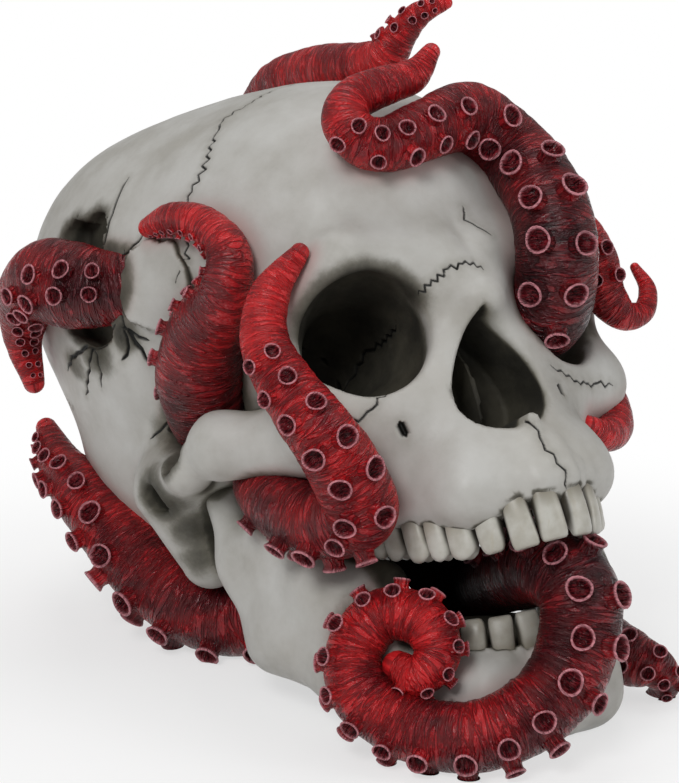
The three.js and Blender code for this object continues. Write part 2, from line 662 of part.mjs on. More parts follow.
const upperGroove = toothBar(upperRow, GLUE_GAP, TOOTH_GROOVE_HEIGHT);
const lowerGroove = toothBar(lowerRow, GLUE_GAP, TOOTH_GROOVE_HEIGHT).transform(jawPlace.toArray());
const grownUpperTeeth = toothRow(upperRow, GLUE_GAP);
const grownLowerTeeth = toothRow(lowerRow, GLUE_GAP).transform(jawPlace.toArray());
const headSkin = craniumSkin();
const jawSkin = mandibleSkin();
const grownCranium = solid(grown(headSkin, BONE_GAP));
const grownMandible = solid(grown(jawSkin, BONE_GAP));
const headCuts = [grownMandible, upperGroove, earHole(1), earHole(-1)];
const head = headCuts.reduce((left, cut) => left.subtract(cut), solid(headSkin).add(nosePartition()));
const bones = {
  cranium: socketsIn(head, "cranium"),
  mandible: socketsIn(solid(jawSkin).subtract(lowerGroove), "mandible"),
  upper_teeth: toothRow(upperRow, 0),
  lower_teeth: toothRow(lowerRow, 0).transform(jawPlace.toArray()),
};

// Each arm is trimmed to the bones it lies on and to the arms laid before it
const trimmedArms = arms.map((arm, i) => {
  const craniumLeft = arm.host === "cranium" ? grownCranium.subtract(arm.socket) : grownCranium;
  const mandibleLeft = arm.host === "mandible" ? grownMandible.subtract(arm.socket) : grownMandible;
  const laid = arms.slice(0, i).map((other) => other.outline);
  const blocks = [craniumLeft, mandibleLeft, grownUpperTeeth, grownLowerTeeth, ...laid];
  const body = blocks.reduce((left, block) => left.subtract(block), arm.body);
  return [arm.name, body];
});

const BONE = new THREE.MeshStandardMaterial({ color: 0xc9c7c0, roughness: 0.7, metalness: 0 });
const ENAMEL = new THREE.MeshStandardMaterial({ color: 0xd2cdbf, roughness: 0.5, metalness: 0 });
const FLESH = new THREE.MeshStandardMaterial({ color: 0x8e1c20, roughness: 0.4, metalness: 0 });
const coats = { cranium: BONE, mandible: BONE, upper_teeth: ENAMEL, lower_teeth: ENAMEL };

[...Object.entries(bones), ...trimmedArms].forEach(([name, body]) => {
  const mesh = new THREE.Mesh(surface(mainBody(body.intersect(aboveGround))), coats[name] ?? FLESH);
  mesh.name = name;
  statue.add(mesh);
});

// The origin is on the ground, under the middle of the statue's footprint
const middle = new THREE.Box3().setFromObject(statue, true).getCenter(new THREE.Vector3());
statue.position.x -= middle.x;
statue.position.y -= middle.y;

const part = new THREE.Group();
part.add(statue);

export default part;
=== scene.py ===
import math

import bmesh
import bpy
import numpy as np
from mathutils.kdtree import KDTree
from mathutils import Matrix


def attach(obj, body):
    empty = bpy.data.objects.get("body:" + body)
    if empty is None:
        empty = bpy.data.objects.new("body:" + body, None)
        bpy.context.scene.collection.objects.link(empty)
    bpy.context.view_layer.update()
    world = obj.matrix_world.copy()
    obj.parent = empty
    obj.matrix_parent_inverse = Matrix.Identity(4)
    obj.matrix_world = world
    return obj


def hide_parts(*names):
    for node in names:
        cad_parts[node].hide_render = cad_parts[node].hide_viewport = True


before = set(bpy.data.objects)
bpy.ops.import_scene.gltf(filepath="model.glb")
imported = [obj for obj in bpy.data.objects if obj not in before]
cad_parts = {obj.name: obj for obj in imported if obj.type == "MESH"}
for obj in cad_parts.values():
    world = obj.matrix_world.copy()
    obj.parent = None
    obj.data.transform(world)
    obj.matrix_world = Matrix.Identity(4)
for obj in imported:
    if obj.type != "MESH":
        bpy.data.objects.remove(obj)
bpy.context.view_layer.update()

# ---- sizes, in millimetres and degrees
MM = 0.001
HALF_VAULT = np.array([57.0, 74.0, 56.0])
VAULT_PLACE = np.array([7.2322, 28.1936, 81.4])
SKULL_LEAN = 30.0
JAW_OPENING = 13.0
NOSE_SHIFT = np.array([1.8, 0.0, 0.0])
NOSE_HALF_WIDTH = 11.6
NOSE_FOOT_RADIUS = 8.8
NOSE_HEIGHT = 21.0
BONE_STEP = 1.8
# The bones' mesh is halved this near a suture or crack, and once more nearer to it
LINE_BANDS = (1.6, 0.7)
SEED = 7
FAR = 99.0
TINY = 1e-6

# ---- places
def at(across, back, up):
    """A place in the skull, in percent of the vault's half breadth, half length and half height."""
    return np.array([across, back, up]) * HALF_VAULT / 100.0


def turn_about_x(p, degrees):
    c, s = math.cos(math.radians(degrees)), math.sin(math.radians(degrees))
    return np.stack([p[:, 0], c * p[:, 1] - s * p[:, 2], s * p[:, 1] + c * p[:, 2]], axis=1)


def placed(p):
    """Skull millimetres to scene metres, with nothing under the ground."""
    row = turn_about_x(p, -SKULL_LEAN) + VAULT_PLACE
    row[:, 2] = np.maximum(row[:, 2], 0.0)
    return row * MM


JAW_HINGE = at(0, -13, -82)


def open_jaw(p):
    return turn_about_x(p, JAW_OPENING) + JAW_HINGE


def closed_jaw(p):
    return turn_about_x(p - JAW_HINGE, -JAW_OPENING)


# ---- lines of points
def unit(v):
    return v / np.maximum(np.linalg.norm(v, axis=1, keepdims=True), TINY)


def run_of(points):
    """How far along a line of points each of them is."""
    return np.concatenate([[0.0], np.cumsum(np.linalg.norm(np.diff(points, axis=0), axis=1))])


def on_run(stops, run, points):
    """The places at the given distances along a line of points."""
    return np.stack([np.interp(stops, run, column) for column in points.T], axis=1)


def nearest_on(p, start, end):
    """For each point the distance to a straight line, and the share along it of the nearest place."""
    along = end - start
    share = np.clip((p - start) @ along / (along @ along), 0.0, 1.0)
    return np.linalg.norm(p - start - share[:, None] * along, axis=1), share


def in_box_of(p, spots, reach):
    """Which points are in the box round some spots, widened by a reach."""
    return np.all((p > spots.min(axis=0) - reach) & (p < spots.max(axis=0) + reach), axis=1)


# ---- soft forms, as signed distances
def join(a, b, softness):
    overlap = np.maximum(softness - np.abs(a - b), 0.0) / softness
    return np.minimum(a, b) - overlap * overlap * softness / 4.0


def cut(form, tool, softness):
    return -join(-form, tool, softness)


def ball(p, centre, radii):
    q = (p - centre) / radii
    reach = np.linalg.norm(q, axis=1)
    slope = np.linalg.norm(q / radii, axis=1)
    return reach * (reach - 1.0) / np.maximum(slope, TINY)


def rod(p, start, end, start_radius, end_radius):
    gap, share = nearest_on(p, start, end)
    return gap - start_radius - (end_radius - start_radius) * share


def joined(d, p, forms):
    """A form with others joined to it, each with its softness first, then what ball or rod needs."""
    for softness, place, other, *radii in forms:
        more = rod(p, at(*place), at(*other), *radii) if radii else ball(p, at(*place), other)
        d = join(d, more, softness)
    return d


def mirrored(p):
    m = p.copy()
    m[:, 0] = np.abs(m[:, 0])
    return m


def smooth(low, high, x):
    t = np.clip((x - low) / (high - low), 0.0, 1.0)
    return t * t * (3.0 - 2.0 * t)


CORNERS = np.array([[c & 1, (c >> 1) & 1, c >> 2] for c in range(8)])
HASH = (73856093, 19349663, 83492791, 2654435761, 1274126177)


def value_noise(p, size, seed):
    """Smooth noise from -1 to 1 with lumps of the given size."""
    q = p / size
    cell = np.floor(q).astype(np.int64)
    f = q - cell
    f = f * f * (3.0 - 2.0 * f)
    total = np.zeros(len(p))
    for offset in CORNERS:
        c = cell + offset
        h = (c[:, 0] * HASH[0]) ^ (c[:, 1] * HASH[1]) ^ (c[:, 2] * HASH[2]) ^ (seed * HASH[3])
        h = (h ^ (h >> 13)) * HASH[4] & 0xFFFFFFFF
        weight = np.prod(np.where(offset == 1, f, 1.0 - f), axis=1)
        total += weight * (h / 2.0 ** 31 - 1.0)
    return total


# ---- tooth rows
class Row:
    """One side of a row of teeth, from the middle backwards: each tooth's width in percent of the row's length, its
    height, and how far its gum is above the gum of the first."""

    def __init__(self, half_width, front, rear, gum, biting, lean, widths, heights, rises):
        self.gum, self.biting, self.lean = gum, biting, lean
        self.heights, self.rises = heights, rises
        theta = np.linspace(-math.pi / 2, 0.0, 400)
        self.path = np.stack([half_width * np.cos(theta), rear + (rear - front) * np.sin(theta)], axis=1)
        self.run = run_of(self.path)
        self.widths = [part / 100.0 * self.run[-1] for part in widths]

    def spot(self, travelled):
        stops = [travelled, travelled + HEADING_STEP, max(travelled - HEADING_STEP, 0.0)]
        spot, ahead, behind = on_run(stops, self.run, self.path)
        return spot, (ahead - behind) / np.linalg.norm(ahead - behind)

    def teeth(self):
        travelled = 0.0
        for i, (width, height) in enumerate(zip(self.widths, self.heights)):
            spot, heading = self.spot(travelled + width / 2)
            travelled += width
            yield i, width, height, spot, heading

    def borders(self):
        for i, travelled in enumerate(np.cumsum(self.widths)[:-1]):
            yield self.gum + (self.rises[i] + self.rises[i + 1]) / 2, *self.spot(travelled)


HEADING_STEP = 0.3
UPPER = Row(at(42, 0, 0)[0], at(0, -111, 0)[1], at(0, -45, 0)[1], at(0, 0, -121)[2], -1, 1.0,
            [11.3, 10.9, 10.7, 11.7, 9.4, 11.1, 9.7, 8.2], [15.9, 16, 15.8, 15.3, 15, 14.8, 14.3, 13.6],
            [0, 0.2, 0.6, 1.4, 2.6, 3.9, 5.3, 6.3])
LOWER = Row(at(39, 0, 0)[0], at(0, -84, 0)[1], at(0, -38, 0)[1], at(0, 0, -87)[2], 1, 0.4,
            [13.2, 13.4, 14.3, 14.5, 15, 18.8], [12.8, 12.8, 12.8, 11.4, 9.6, 9], [0, 0, 0.2, 0.9, 2, 2.8])
# Ridges over the roots: how far out they stand, reach over the gum, how soft and for which width of tooth
ROOT_OUT, ROOT_OVERLAP, ROOT_SOFTNESS, ROOT_TOOTH_WIDTH = 2.3, 2.5, 2.6, 6.5
# Points of gum between the teeth: how far out they start and end, their length, radii and softness
POINT_OUT, POINT_END_OUT, POINT_LENGTH, POINT_RADII, POINT_SOFTNESS = 2.4, 2.6, 6.0, (1.5, 0.6), 1.5


def root_swellings(d, m, row, length, radius):
    """Low ridges in the gum bone over the roots of the teeth, and points of gum between the teeth."""
    def spot_in_gum(spot, heading, out, height):
        return np.array([*(spot + np.array([heading[1], -heading[0]]) * out), height])

    for i, width, _, spot, heading in row.teeth():
        gum = row.gum + row.rises[i]
        low = spot_in_gum(spot, heading, ROOT_OUT, gum + row.biting * ROOT_OVERLAP)
        high = spot_in_gum(spot, heading, ROOT_OUT * 0.3, gum - row.biting * length)
        d = join(d, rod(m, low, high, radius * width / ROOT_TOOTH_WIDTH, radius * 0.6), ROOT_SOFTNESS)
    for gum, spot, heading in row.borders():
        high = spot_in_gum(spot, heading, POINT_OUT, gum)
        low = spot_in_gum(spot, heading, POINT_END_OUT, gum + row.biting * POINT_LENGTH)
        d = join(d, rod(m, high, low, *POINT_RADII), POINT_SOFTNESS)
    return d


# ---- bones
# Broken places and the flake between them: middle, facing, half sizes backwards and upwards, and seed, and for a
# broken place its depth before these
BREAKS = [(5.5, (at(-97, 9, 30), (-1, 0.02, 0.16), 13.5, 18.5, 3)),
          (4.5, (at(-74, -16, -47), (-1, -0.25, -0.1), 11.5, 11.5, 5))]
BREAK_RAGGED = (0.72, 1.12)
FLAKE = (at(-88, -27, 8), (-1, -0.3, 0.1), 11.5, 11.5, 4)
FLAKE_RAGGED = (0.88, 1.08)
FLAKE_LIFT, FLAKE_DEPTH, FLAKE_SOFTNESS = 1.7, 8.0, 0.5
EDGE_KNOTS = 19
EYE_SOCKET = (at(44, -84, -48), (14, 18, 15.5))


def broken_edge(p, ragged, centre, outward, half_back, half_up, seed):
    """Distance outside a ragged outline on the skull, and the height over the middle of it."""
    rng = np.random.default_rng(seed)
    knots = np.linspace(-math.pi, math.pi, EDGE_KNOTS)
    edge = rng.uniform(*ragged, EDGE_KNOTS)
    edge[-1] = edge[0]
    outward = np.array(outward) / np.linalg.norm(outward)
    back = np.array([0.0, 1.0, 0.0]) - outward * outward[1]
    back /= np.linalg.norm(back)
    up = np.cross(outward, back)
    q = p - centre
    a, b, height = q @ back / half_back, q @ up / half_up, q @ outward
    rim = (np.hypot(a, b) - np.interp(np.arctan2(b, a), knots, edge)) * min(half_back, half_up)
    return rim, height


# Left halves and middles of the bones, for joined() with mirrored points
VAULT_AND_FACE = [
    (13, (0, -38, 0), (44, 45, 45)), (14, (0, 47, -47), (49, 42, 44)), (18, (44, 38, 40), (29, 34, 31)),
    (14, (0, 20, -78), (34, 45, 18)), (9, (78, 8, -72), (70, 12, -104), 11.5, 7.5), (9, (70, -10, -70), (11, 12, 8)),
    (12, (0, -66, -66), (31, 23, 31)), (11, (10, -96, -24), (48, -88, -18), 5.2, 5.2),
    (9, (48, -88, -18), (74, -70, -36), 5.2, 5.2), (6, (75, -70, -34), (68, -72, -68), 5, 6),
    (8, (57, -75, -80), (15, 10, 10)), (6, (60, -78, -74), (24, -92, -68), 5, 4.5),
    (7, (0, -96, -34), (0, -103.5, -44), 6, 4.8), (7, (8, -94, -40), (18, -92, -84), 5.5, 5.5),
    (9, (0, -78, -98), (24, 20, 15)), (9, (36, -82, -84), (40, -68, -103), 8, 7.5),
    (8, (0, -107.5, -123.5), (26, -97, -121), 6.8, 6.8), (8, (26, -97, -121), (43, -60, -107), 6.8, 6.6),
    (9, (0, -103, -111), (20, -95, -109), 6.4, 6.2)]
CHEEK_ARCHES = [
    (6, (68, -66, -76), (90, -44, -68), 6, 5.6), (6, (66, -64, -85), (89, -42, -75), 5.5, 4.6),
    (6, (90, -44, -70), (93, -22, -72), 6, 3.9), (8, (93, -22, -72), (86, 6, -70), 3.9, 3.4)]
PLATE, BAR, CHIN = 5.5, 6.3, 7.5
JAW = [
    (8, (71, -6, -32), (67, -11, -65), PLATE, BAR), (7, (67, -29, 3), (63, -34, -39), 4, PLATE),
    (9, (68, -20, -23), (65, -24, -61), BAR, BAR), (8, (65, -24, -61), (59, -46, -81), BAR, PLATE),
    (8, (67, -17, -65), (57, -46, -82), BAR, BAR), (8, (62, -40, -44), (52, -60, -62), PLATE, PLATE),
    (8, (61, -44, -58), (52, -58, -76), PLATE, PLATE), (6, (50, -26, -44), (46, -54, -47), 7, 6.5),
    (7, (57, -46, -82), (25, -76, -103), BAR, CHIN), (7, (25, -76, -103), (0, -82, -106), CHIN, CHIN),
    (7, (59, -44, -76), (43, -62, -84), PLATE, PLATE), (7, (43, -62, -84), (22, -79, -91), PLATE, PLATE),
    (7, (22, -79, -91), (0, -84, -93), PLATE, PLATE), (8, (43, -59, -92), (0, -80, -100), BAR, BAR),
    (5, (0, -46, -85), (25, 23, 9.5))]


def cranium_mass(p):
    """The skull before its sockets, nose and holes are hollowed out."""
    m = mirrored(p)
    d = joined(ball(p, at(0, 14, 8), (57, 64, 54)), m, VAULT_AND_FACE)
    d = root_swellings(d, m, UPPER, 5.0, 2.0)
    d = cut(d, ball(m, at(96, -36, -42), (15, 22, 23)), 9)
    return joined(d, m, CHEEK_ARCHES)


def nose_opening(p):
    """A passage shaped like a drop, widest near its foot."""
    rise = p[:, 2] - at(0, 0, -85.5)[2]
    foot = (np.hypot(p[:, 0] / NOSE_HALF_WIDTH, rise / NOSE_FOOT_RADIUS) - 1.0) * NOSE_FOOT_RADIUS
    narrowing = np.cos(np.clip(rise / NOSE_HEIGHT, 0.0, 1.0) * math.pi / 2)
    top = np.maximum(0.8 * (np.abs(p[:, 0]) - NOSE_HALF_WIDTH * narrowing), rise - NOSE_HEIGHT)
    return np.maximum(np.where(rise < 0.0, foot, top), p[:, 1] - at(0, -80, 0)[1])


def cranium_form(p):
    m = mirrored(p)
    d = cranium_mass(p)
    # eye sockets, nose opening with its partition and spine, palate
    d = cut(d, ball(m, *EYE_SOCKET), 2.2)
    d = cut(d, ball(m, at(36, -62, -46), (10, 20, 11)), 4)
    nose = p + NOSE_SHIFT
    d = cut(d, nose_opening(nose), 1.4)
    d = join(d, ball(nose, at(0, -80, -78), (1.2, 8, 14)), 1.5)
    d = join(d, rod(p, at(0, -98, -101), at(0, -111, -99), 2.6, 1.2), 3)
    d = cut(d, ball(p, at(0, -66, -142), (18, 28, 13.5)), 5)
    # ear holes
    d = cut(d, rod(m, at(108, 2, -76), at(66, 2, -76), 3.8, 3.2), 1.8)
    # the flake is a piece of the skull's own surface, a little higher than the rest
    rim, height = broken_edge(p, FLAKE_RAGGED, *FLAKE)
    d = join(d, np.maximum(np.maximum(d - FLAKE_LIFT, rim), -FLAKE_DEPTH - height), FLAKE_SOFTNESS)
    # broken places that two of the arms burst out of
    for depth, outline in BREAKS:
        rim, height = broken_edge(p, BREAK_RAGGED, *outline)
        d = np.maximum(d, -np.maximum(rim, -depth - height))
    return d


def jaw_form_closed(p):
    m = mirrored(p)
    d = joined(rod(m, at(71, 1, -2), at(71, -6, -32), PLATE, PLATE), m, JAW)
    d = root_swellings(d, m, LOWER, 7.0, 2.4)
    return cut(d, ball(m, at(40, -78, -98), (1.5, 2.2, 1.5)), 0.8)


def mandible_form(p):
    return jaw_form_closed(closed_jaw(p))


def bones_form(p):
    return np.minimum(cranium_form(p), mandible_form(p))


SLOPE_STEP = 0.12
LONGEST_MOVE = 0.6
GRID_PARTS = 12


def slope_of(form, p):
    rises = [form(p + SLOPE_STEP * axis) - form(p - SLOPE_STEP * axis) for axis in np.eye(3)]
    return np.stack(rises, axis=1) / (2 * SLOPE_STEP)


def settled(form, p, rounds):
    """Points moved onto the skin of a form."""
    for _ in range(rounds):
        slope = slope_of(form, p)
        steep = np.maximum((slope * slope).sum(axis=1), 0.2)
        step = np.clip(form(p) / steep, -LONGEST_MOVE, LONGEST_MOVE)
        p = p - slope * step[:, None]
    return p


CELL_EDGES = [(a, a | (1 << k)) for k in range(3) for a in range(8) if not a & (1 << k)]


def skin(form, low, high, step):
    """The skin of a form as points and four-sided faces."""
    count = np.ceil((high - low) / step).astype(int) + 1
    axes = [low[k] + step * np.arange(count[k]) for k in range(3)]
    grid = np.stack(np.meshgrid(*axes, indexing="ij"), axis=-1).reshape(-1, 3)
    level = np.concatenate([form(part) for part in np.array_split(grid, GRID_PARTS)]).reshape(count)
    inside = level < 0
    cells = count - 1

    def corner(values, offset):
        return values[offset[0]:offset[0] + cells[0], offset[1]:offset[1] + cells[1],
                      offset[2]:offset[2] + cells[2]]

    total = sum(corner(inside, offset).astype(int) for offset in CORNERS)
    active = (total > 0) & (total < 8)
    index = np.full(cells, -1)
    index[active] = np.arange(active.sum())
    middle = np.zeros((active.sum(), 3))
    crossed = np.zeros(active.sum())
    for a, b in CELL_EDGES:
        va, vb = corner(level, CORNERS[a])[active], corner(level, CORNERS[b])[active]
        hit = (va < 0) != (vb < 0)
        share = np.where(hit, va / np.where(hit, va - vb, 1.0), 0.0)
        spot = CORNERS[a] + share[:, None] * (CORNERS[b] - CORNERS[a])
        middle += np.where(hit[:, None], spot, 0.0)
        crossed += hit
    points = low + step * (np.argwhere(active) + middle / crossed[:, None])
    faces = []
    for k in range(3):
        p, q = (k + 1) % 3, (k + 2) % 3
        size = cells.copy()
        size[k] = count[k] - 1
        here = inside[:size[0], :size[1], :size[2]]
        there = np.roll(inside, -1, axis=k)[:size[0], :size[1], :size[2]]
        edges = np.argwhere(here != there)
        edges = edges[(edges[:, p] > 0) & (edges[:, q] > 0)]
        starts = inside[tuple(edges.T)]
        ring = []
        for back_p, back_q in ((1, 1), (0, 1), (0, 0), (1, 0)):
            cell = edges.copy()
            cell[:, p] -= back_p
            cell[:, q] -= back_q
            ring.append(index[tuple(cell.T)])
        ring = np.stack(ring, axis=1)
        faces.append(np.where(starts[:, None], ring, ring[:, ::-1]))
    return points, np.concatenate(faces)


# ---- sutures and cracks
# Each: how far it wanders, its step, its half width and its depth in millimetres, and its places
LINES = {
    "coronal": (1.3, 1.5, 0.34, 0.55, [(30, -36, 88), (10, -41, 88), (-10, -43, 86), (-31, -45, 79), (-48, -41, 72),
        (-57, -46, 61), (-68, -47, 47), (-75, -42, 38), (-81, -43, 20), (-82, -44, 13), (-84, -37, 5)]),
    "brow": (0.8, 0.9, 0.28, 0.45, [(-24, -97, -37), (-17, -102, -33), (-13, -104, -31), (-3, -106, -30),
        (2, -106, -34)]),
    "cheek": (0.8, 1.4, 0.32, 0.5, [(-46, -92, -73), (-51, -91, -77), (-55, -90, -80), (-61, -89, -82),
        (-67, -87, -82)]),
    "left_cheek": (0.8, 1.4, 0.3, 0.45, [(27, -99, -75), (36, -97, -80), (47, -93, -84), (67, -87, -84)]),
    "upper_jaw": (0.8, 1.6, 0.3, 0.45, [(1, -106, -100), (-1, -109, -106), (-2, -113, -113), (0, -114, -119),
        (1, -113, -124), (2, -111, -129)]),
    "sagittal": (1.4, 1.6, 0.34, 0.5, [(10, -41, 88), (4, -16, 103), (-2, 20, 106), (3, 50, 97), (-1, 75, 72)]),
    "rear": (1.4, 1.6, 0.34, 0.5, [(78, 48, -12), (56, 72, 18), (28, 84, 44), (-1, 82, 62), (-28, 84, 44),
        (-56, 72, 18), (-78, 48, -12)]),
    "break_up": (0.5, 2.4, 0.42, 0.9, [(-94, -4, 36), (-93, -7, 40), (-88, -9, 50), (-83, -10, 58), (-77, -11, 65)]),
    "break_front": (0.5, 2.2, 0.38, 0.8, [(-94, -12, 26), (-93, -14, 27), (-89, -19, 30), (-86, -25, 32)]),
    "break_back": (0.5, 2.2, 0.36, 0.7, [(-94, 24, 36), (-88, 33, 46), (-82, 36, 54)]),
    "break_low": (0.5, 2.0, 0.6, 1.0, [(-97, -5, 1), (-99, 5, 0), (-101, 15, 0), (-101, 29, 1), (-99, 37, -2)]),
    "break_low_back": (0.5, 2.0, 0.5, 1.0, [(-100, 8, 0), (-100, 16, -5), (-98, 23, -10), (-96, 32, -16)]),
    "break_low_mid": (0.5, 2.0, 0.45, 0.9, [(-100, 11, -2), (-98, 13, -12), (-96, 18, -18)]),
    "break_low_front": (0.5, 2.0, 0.5, 0.9, [(-95, -8, -2), (-94, -6, -11), (-96, -1, -14)]),
    "break_side": (0.5, 2.0, 0.45, 0.9, [(-95, -9, -3), (-92, -9, -12), (-88, -8, -20)]),
    "break_across": (0.4, 2.0, 0.45, 0.8, [(-96, -8, -1), (-92, -11, -7), (-89, -13, -11)]),
    "flake": (0.5, 2.2, 0.42, 0.9, [(-91, -16, 30), (-93, -14, 22), (-95, -11, 14), (-96, -10, 6), (-95, -9, -2),
        (-92, -10, -10), (-91, -9, -13), (-87, -9, -20)]),
    "temple": (0.4, 2.0, 0.36, 0.7, [(-87, 8, -47), (-84, 3, -46), (-82, -1, -45), (-79, -5, -43)]),
    "right_foramen": (0.0, 1.2, 1.05, 1.5, [(-45, -93, -87), (-44, -93, -93)]),
    "left_foramen": (0.0, 1.2, 1.0, 1.4, [(28, -100, -84), (28, -100, -89)]),
    "forehead": (0.5, 1.8, 0.26, 0.35, [(8, -101, -2), (6, -102, -8), (9, -102, -14), (14, -103, -18)]),
    "socket_roof": (0.6, 1.4, 0.45, 0.7, [(-44, -48, -30), (-38, -46, -40), (-33, -46, -50), (-36, -52, -58),
        (-37, -60, -66)]),
    "socket_side": (0.6, 1.4, 0.4, 0.7, [(-33, -46, -50), (-24, -54, -44), (-20, -66, -44), (-21, -76, -42)]),
}


SETTLE_ROUNDS = 30
LINE_REACH = 4.0
# How far from its course a line swings at each stop, and how often and how far it swings back
SWING, BACK_SWING_SHARE, BACK_SWING = (0.25, 1.0), 0.2, -0.5
# A line's width and depth at its ends, and how fast they grow from there
LINE_END, LINE_GROWTH = 0.35, 6.0


def crack_path(form, wander, step, places, rng):
    """A wandering line on the skin of a form."""
    corners = np.array([at(*place) for place in places])
    run = run_of(corners)
    stops = np.linspace(0.0, run[-1], max(int(run[-1] / step), 2) + 1)
    path = settled(form, on_run(stops, run, corners), SETTLE_ROUNDS)
    across = unit(np.cross(slope_of(form, path), np.gradient(path, axis=0)))
    swing = rng.uniform(*SWING, len(path)) * np.where(np.arange(len(path)) % 2, 1.0, -1.0)
    swing *= np.where(rng.uniform(size=len(path)) < BACK_SWING_SHARE, BACK_SWING, 1.0)
    return settled(form, path + across * (wander * swing)[:, None], 3)


def line_marks(p, paths):
    """For each point the distance to the nearest line, and that line's half width and depth there."""
    gap, half, deep = np.full(len(p), FAR), np.ones(len(p)), np.zeros(len(p))
    for path, half_width, depth in paths:
        close = np.where(in_box_of(p, path, LINE_REACH))[0]
        q = p[close]
        best, share_at = np.full(len(q), FAR), np.zeros(len(q))
        last = len(path) - 1
        for i in range(last):
            distance, share = nearest_on(q, path[i], path[i + 1])
            share_at = np.where(distance < best, (i + share) / last, share_at)
            best = np.minimum(best, distance)
        nearer = best < gap[close]
        spots = close[nearer]
        taper = np.minimum(LINE_GROWTH * np.minimum(share_at, 1.0 - share_at)[nearer] + LINE_END, 1.0)
        gap[spots], half[spots], deep[spots] = best[nearer], half_width * taper, depth * taper
    return gap, half, deep


# ---- arms
# Each arm: where its suckers start and stop along it, and its route from the hidden root to the tip.
# A route row is across, back, up in percent, the radius in millimetres and the turn of the sucker side.
ARMS = {
    "nape_arm": ((0.18, 1), [
        (-78, -14, 16, 7.5, -18), (-95, -3, 19, 9.4, -11), (-104, 6, 25.5, 10.9, -15), (-109, 17, 33, 10.9, -44),
        (-111, 30, 33, 8.6, -86), (-110, 46, 21, 5.2, -103), (-107, 52, 0, 2.8, -116)]),
    "temple_arm": ((0.2, 1), [
        (-60, 2, -53, 8.4, -92), (-72, -15, -45, 10.1, -93), (-80, -28, -33, 10.9, -94),
        (-82, -43, -20, 9.4, -91), (-82, -61, -12, 6.4, -86), (-79, -65, 2, 5.5, -78), (-80, -58, 18, 4.6, -76),
        (-85, -45, 29, 4, -97), (-88, -32, 32, 2.6, -113)]),
    "cheek_arm": ((0.26, 0.82), [
        (-41, -24, -55, 5.9, -125), (-69, -34, -84, 6.6, -125), (-75, -51, -102, 8.2, -125),
        (-69, -65, -115, 8.8, -135), (-64, -81, -117, 8.4, -145), (-72, -89, -101, 8.4, -120),
        (-81, -92, -84, 7.7, -130), (-85, -86, -63, 6.6, -145), (-86, -82, -42, 5.6, -135),
        (-79, -83, -24, 4.7, -120), (-65, -89, -10, 2.2, -115)]),
    "brow_arm": ((0.16, 0.83), [
        (30, -28, -42, 6.4, -104), (40, -64, -48, 7.6, -104), (43, -84, -52, 9, -103), (37, -101, -47, 9.6, -69),
        (36, -110, -32, 9.7, -48), (39, -110, -16, 9.6, -51), (42, -105, 0, 9.3, -56), (42, -97, 20, 9, -69),
        (25, -98, 36, 8.5, -69), (-2, -101, 31, 7, -49), (-21, -100, 27, 6.4, -53), (-30, -98, 31, 6, -60),
        (-34, -97, 40, 5.6, -66), (-28, -97, 49, 5.2, -66), (-14, -99, 53, 4.8, -60), (3, -99, 57, 4, -40),
        (12, -102, 65, 2.2, 20)]),
    "crown_arm": ((0.7, 1), [
        (19, 29, 74, 7.2, -45), (22, 23, 99, 7.5, -45), (21, 2, 107, 7.9, -45), (24, -26, 100, 7.2, -65),
        (26, -46, 91, 6, -70), (29, -59, 88, 5, -4), (33, -66, 94, 4.1, 73), (39, -73, 99, 3.2, 121),
        (49, -79, 100, 1.5, 128)]),
    "jaw_arm": ((0.28, 1), [
        (-22, 10, -84, 7.2, 146), (-28, 10, -112, 8.2, 146), (-40, 14, -129, 9.2, 146), (-56, 25, -130, 10.1, 146),
        (-69, 34, -119, 10.6, 147), (-80, 44, -98, 10.2, 160), (-87, 53, -74, 9.2, 205), (-90, 64, -51, 8, 225),
        (-89, 79, -30, 6, 195), (-86, 87, -11, 3, 185)]),
    "left_temple_arm": ((0.2, 0.66), [
        (62, -52, 4, 4.4, 142), (66, -75, -3, 4.8, 141), (71, -88, -14, 5.3, 136), (77, -87, -29, 5.8, 120),
        (80, -84, -43, 5.2, 115), (87, -84, -54, 3.8, 128), (96, -85, -54, 2.8, 205), (102, -85, -44, 2.2, 249),
        (100, -84, -33, 1.2, 242)]),
    "left_cheek_arm": ((1, 1), [
        (46, -34, -26, 5.4, 0), (67, -44, -37, 5.8, 0), (76, -58, -57, 6.2, 0), (77, -68, -80, 6.2, 0),
        (70, -77, -99, 5.4, 0), (58, -84, -104, 4, 0), (47, -87, -99, 2.4, 0)]),
    "mouth_arm": ((0.28, 1), [
        (6, -5, -90, 7.2, -150), (10, -16, -123, 7.2, -150), (12, -29, -145, 7.8, -150), (10, -66, -151, 8.8, -150),
        (8, -89, -155, 9.3, -155), (7, -101, -170, 9.4, -174), (2, -100, -187, 9.3, -180), (-8, -97, -202, 9, -187),
        (-24, -91, -212, 8.6, -204), (-44, -82, -214, 8.1, -222), (-61, -68, -202, 7.6, -232),
        (-72, -62, -184, 7.1, -232), (-68, -62, -166, 6.7, -217), (-56, -69, -157, 6.3, -207),
        (-46, -78, -166, 6, -237), (-46, -79, -179, 5.4, -237), (-54, -75, -185, 4.8, -242),
        (-58, -70, -179, 3.8, -227)]),
    "chin_arm": ((0.46, 1), [
        (56, -46, -183, 8.2, -155), (55, -58, -191, 7.9, -155), (59, -65, -198, 6.6, -154), (65, -68, -204, 5, -153),
        (70, -65, -211, 3.6, -138), (70, -58, -214, 2.4, -128)]),
}
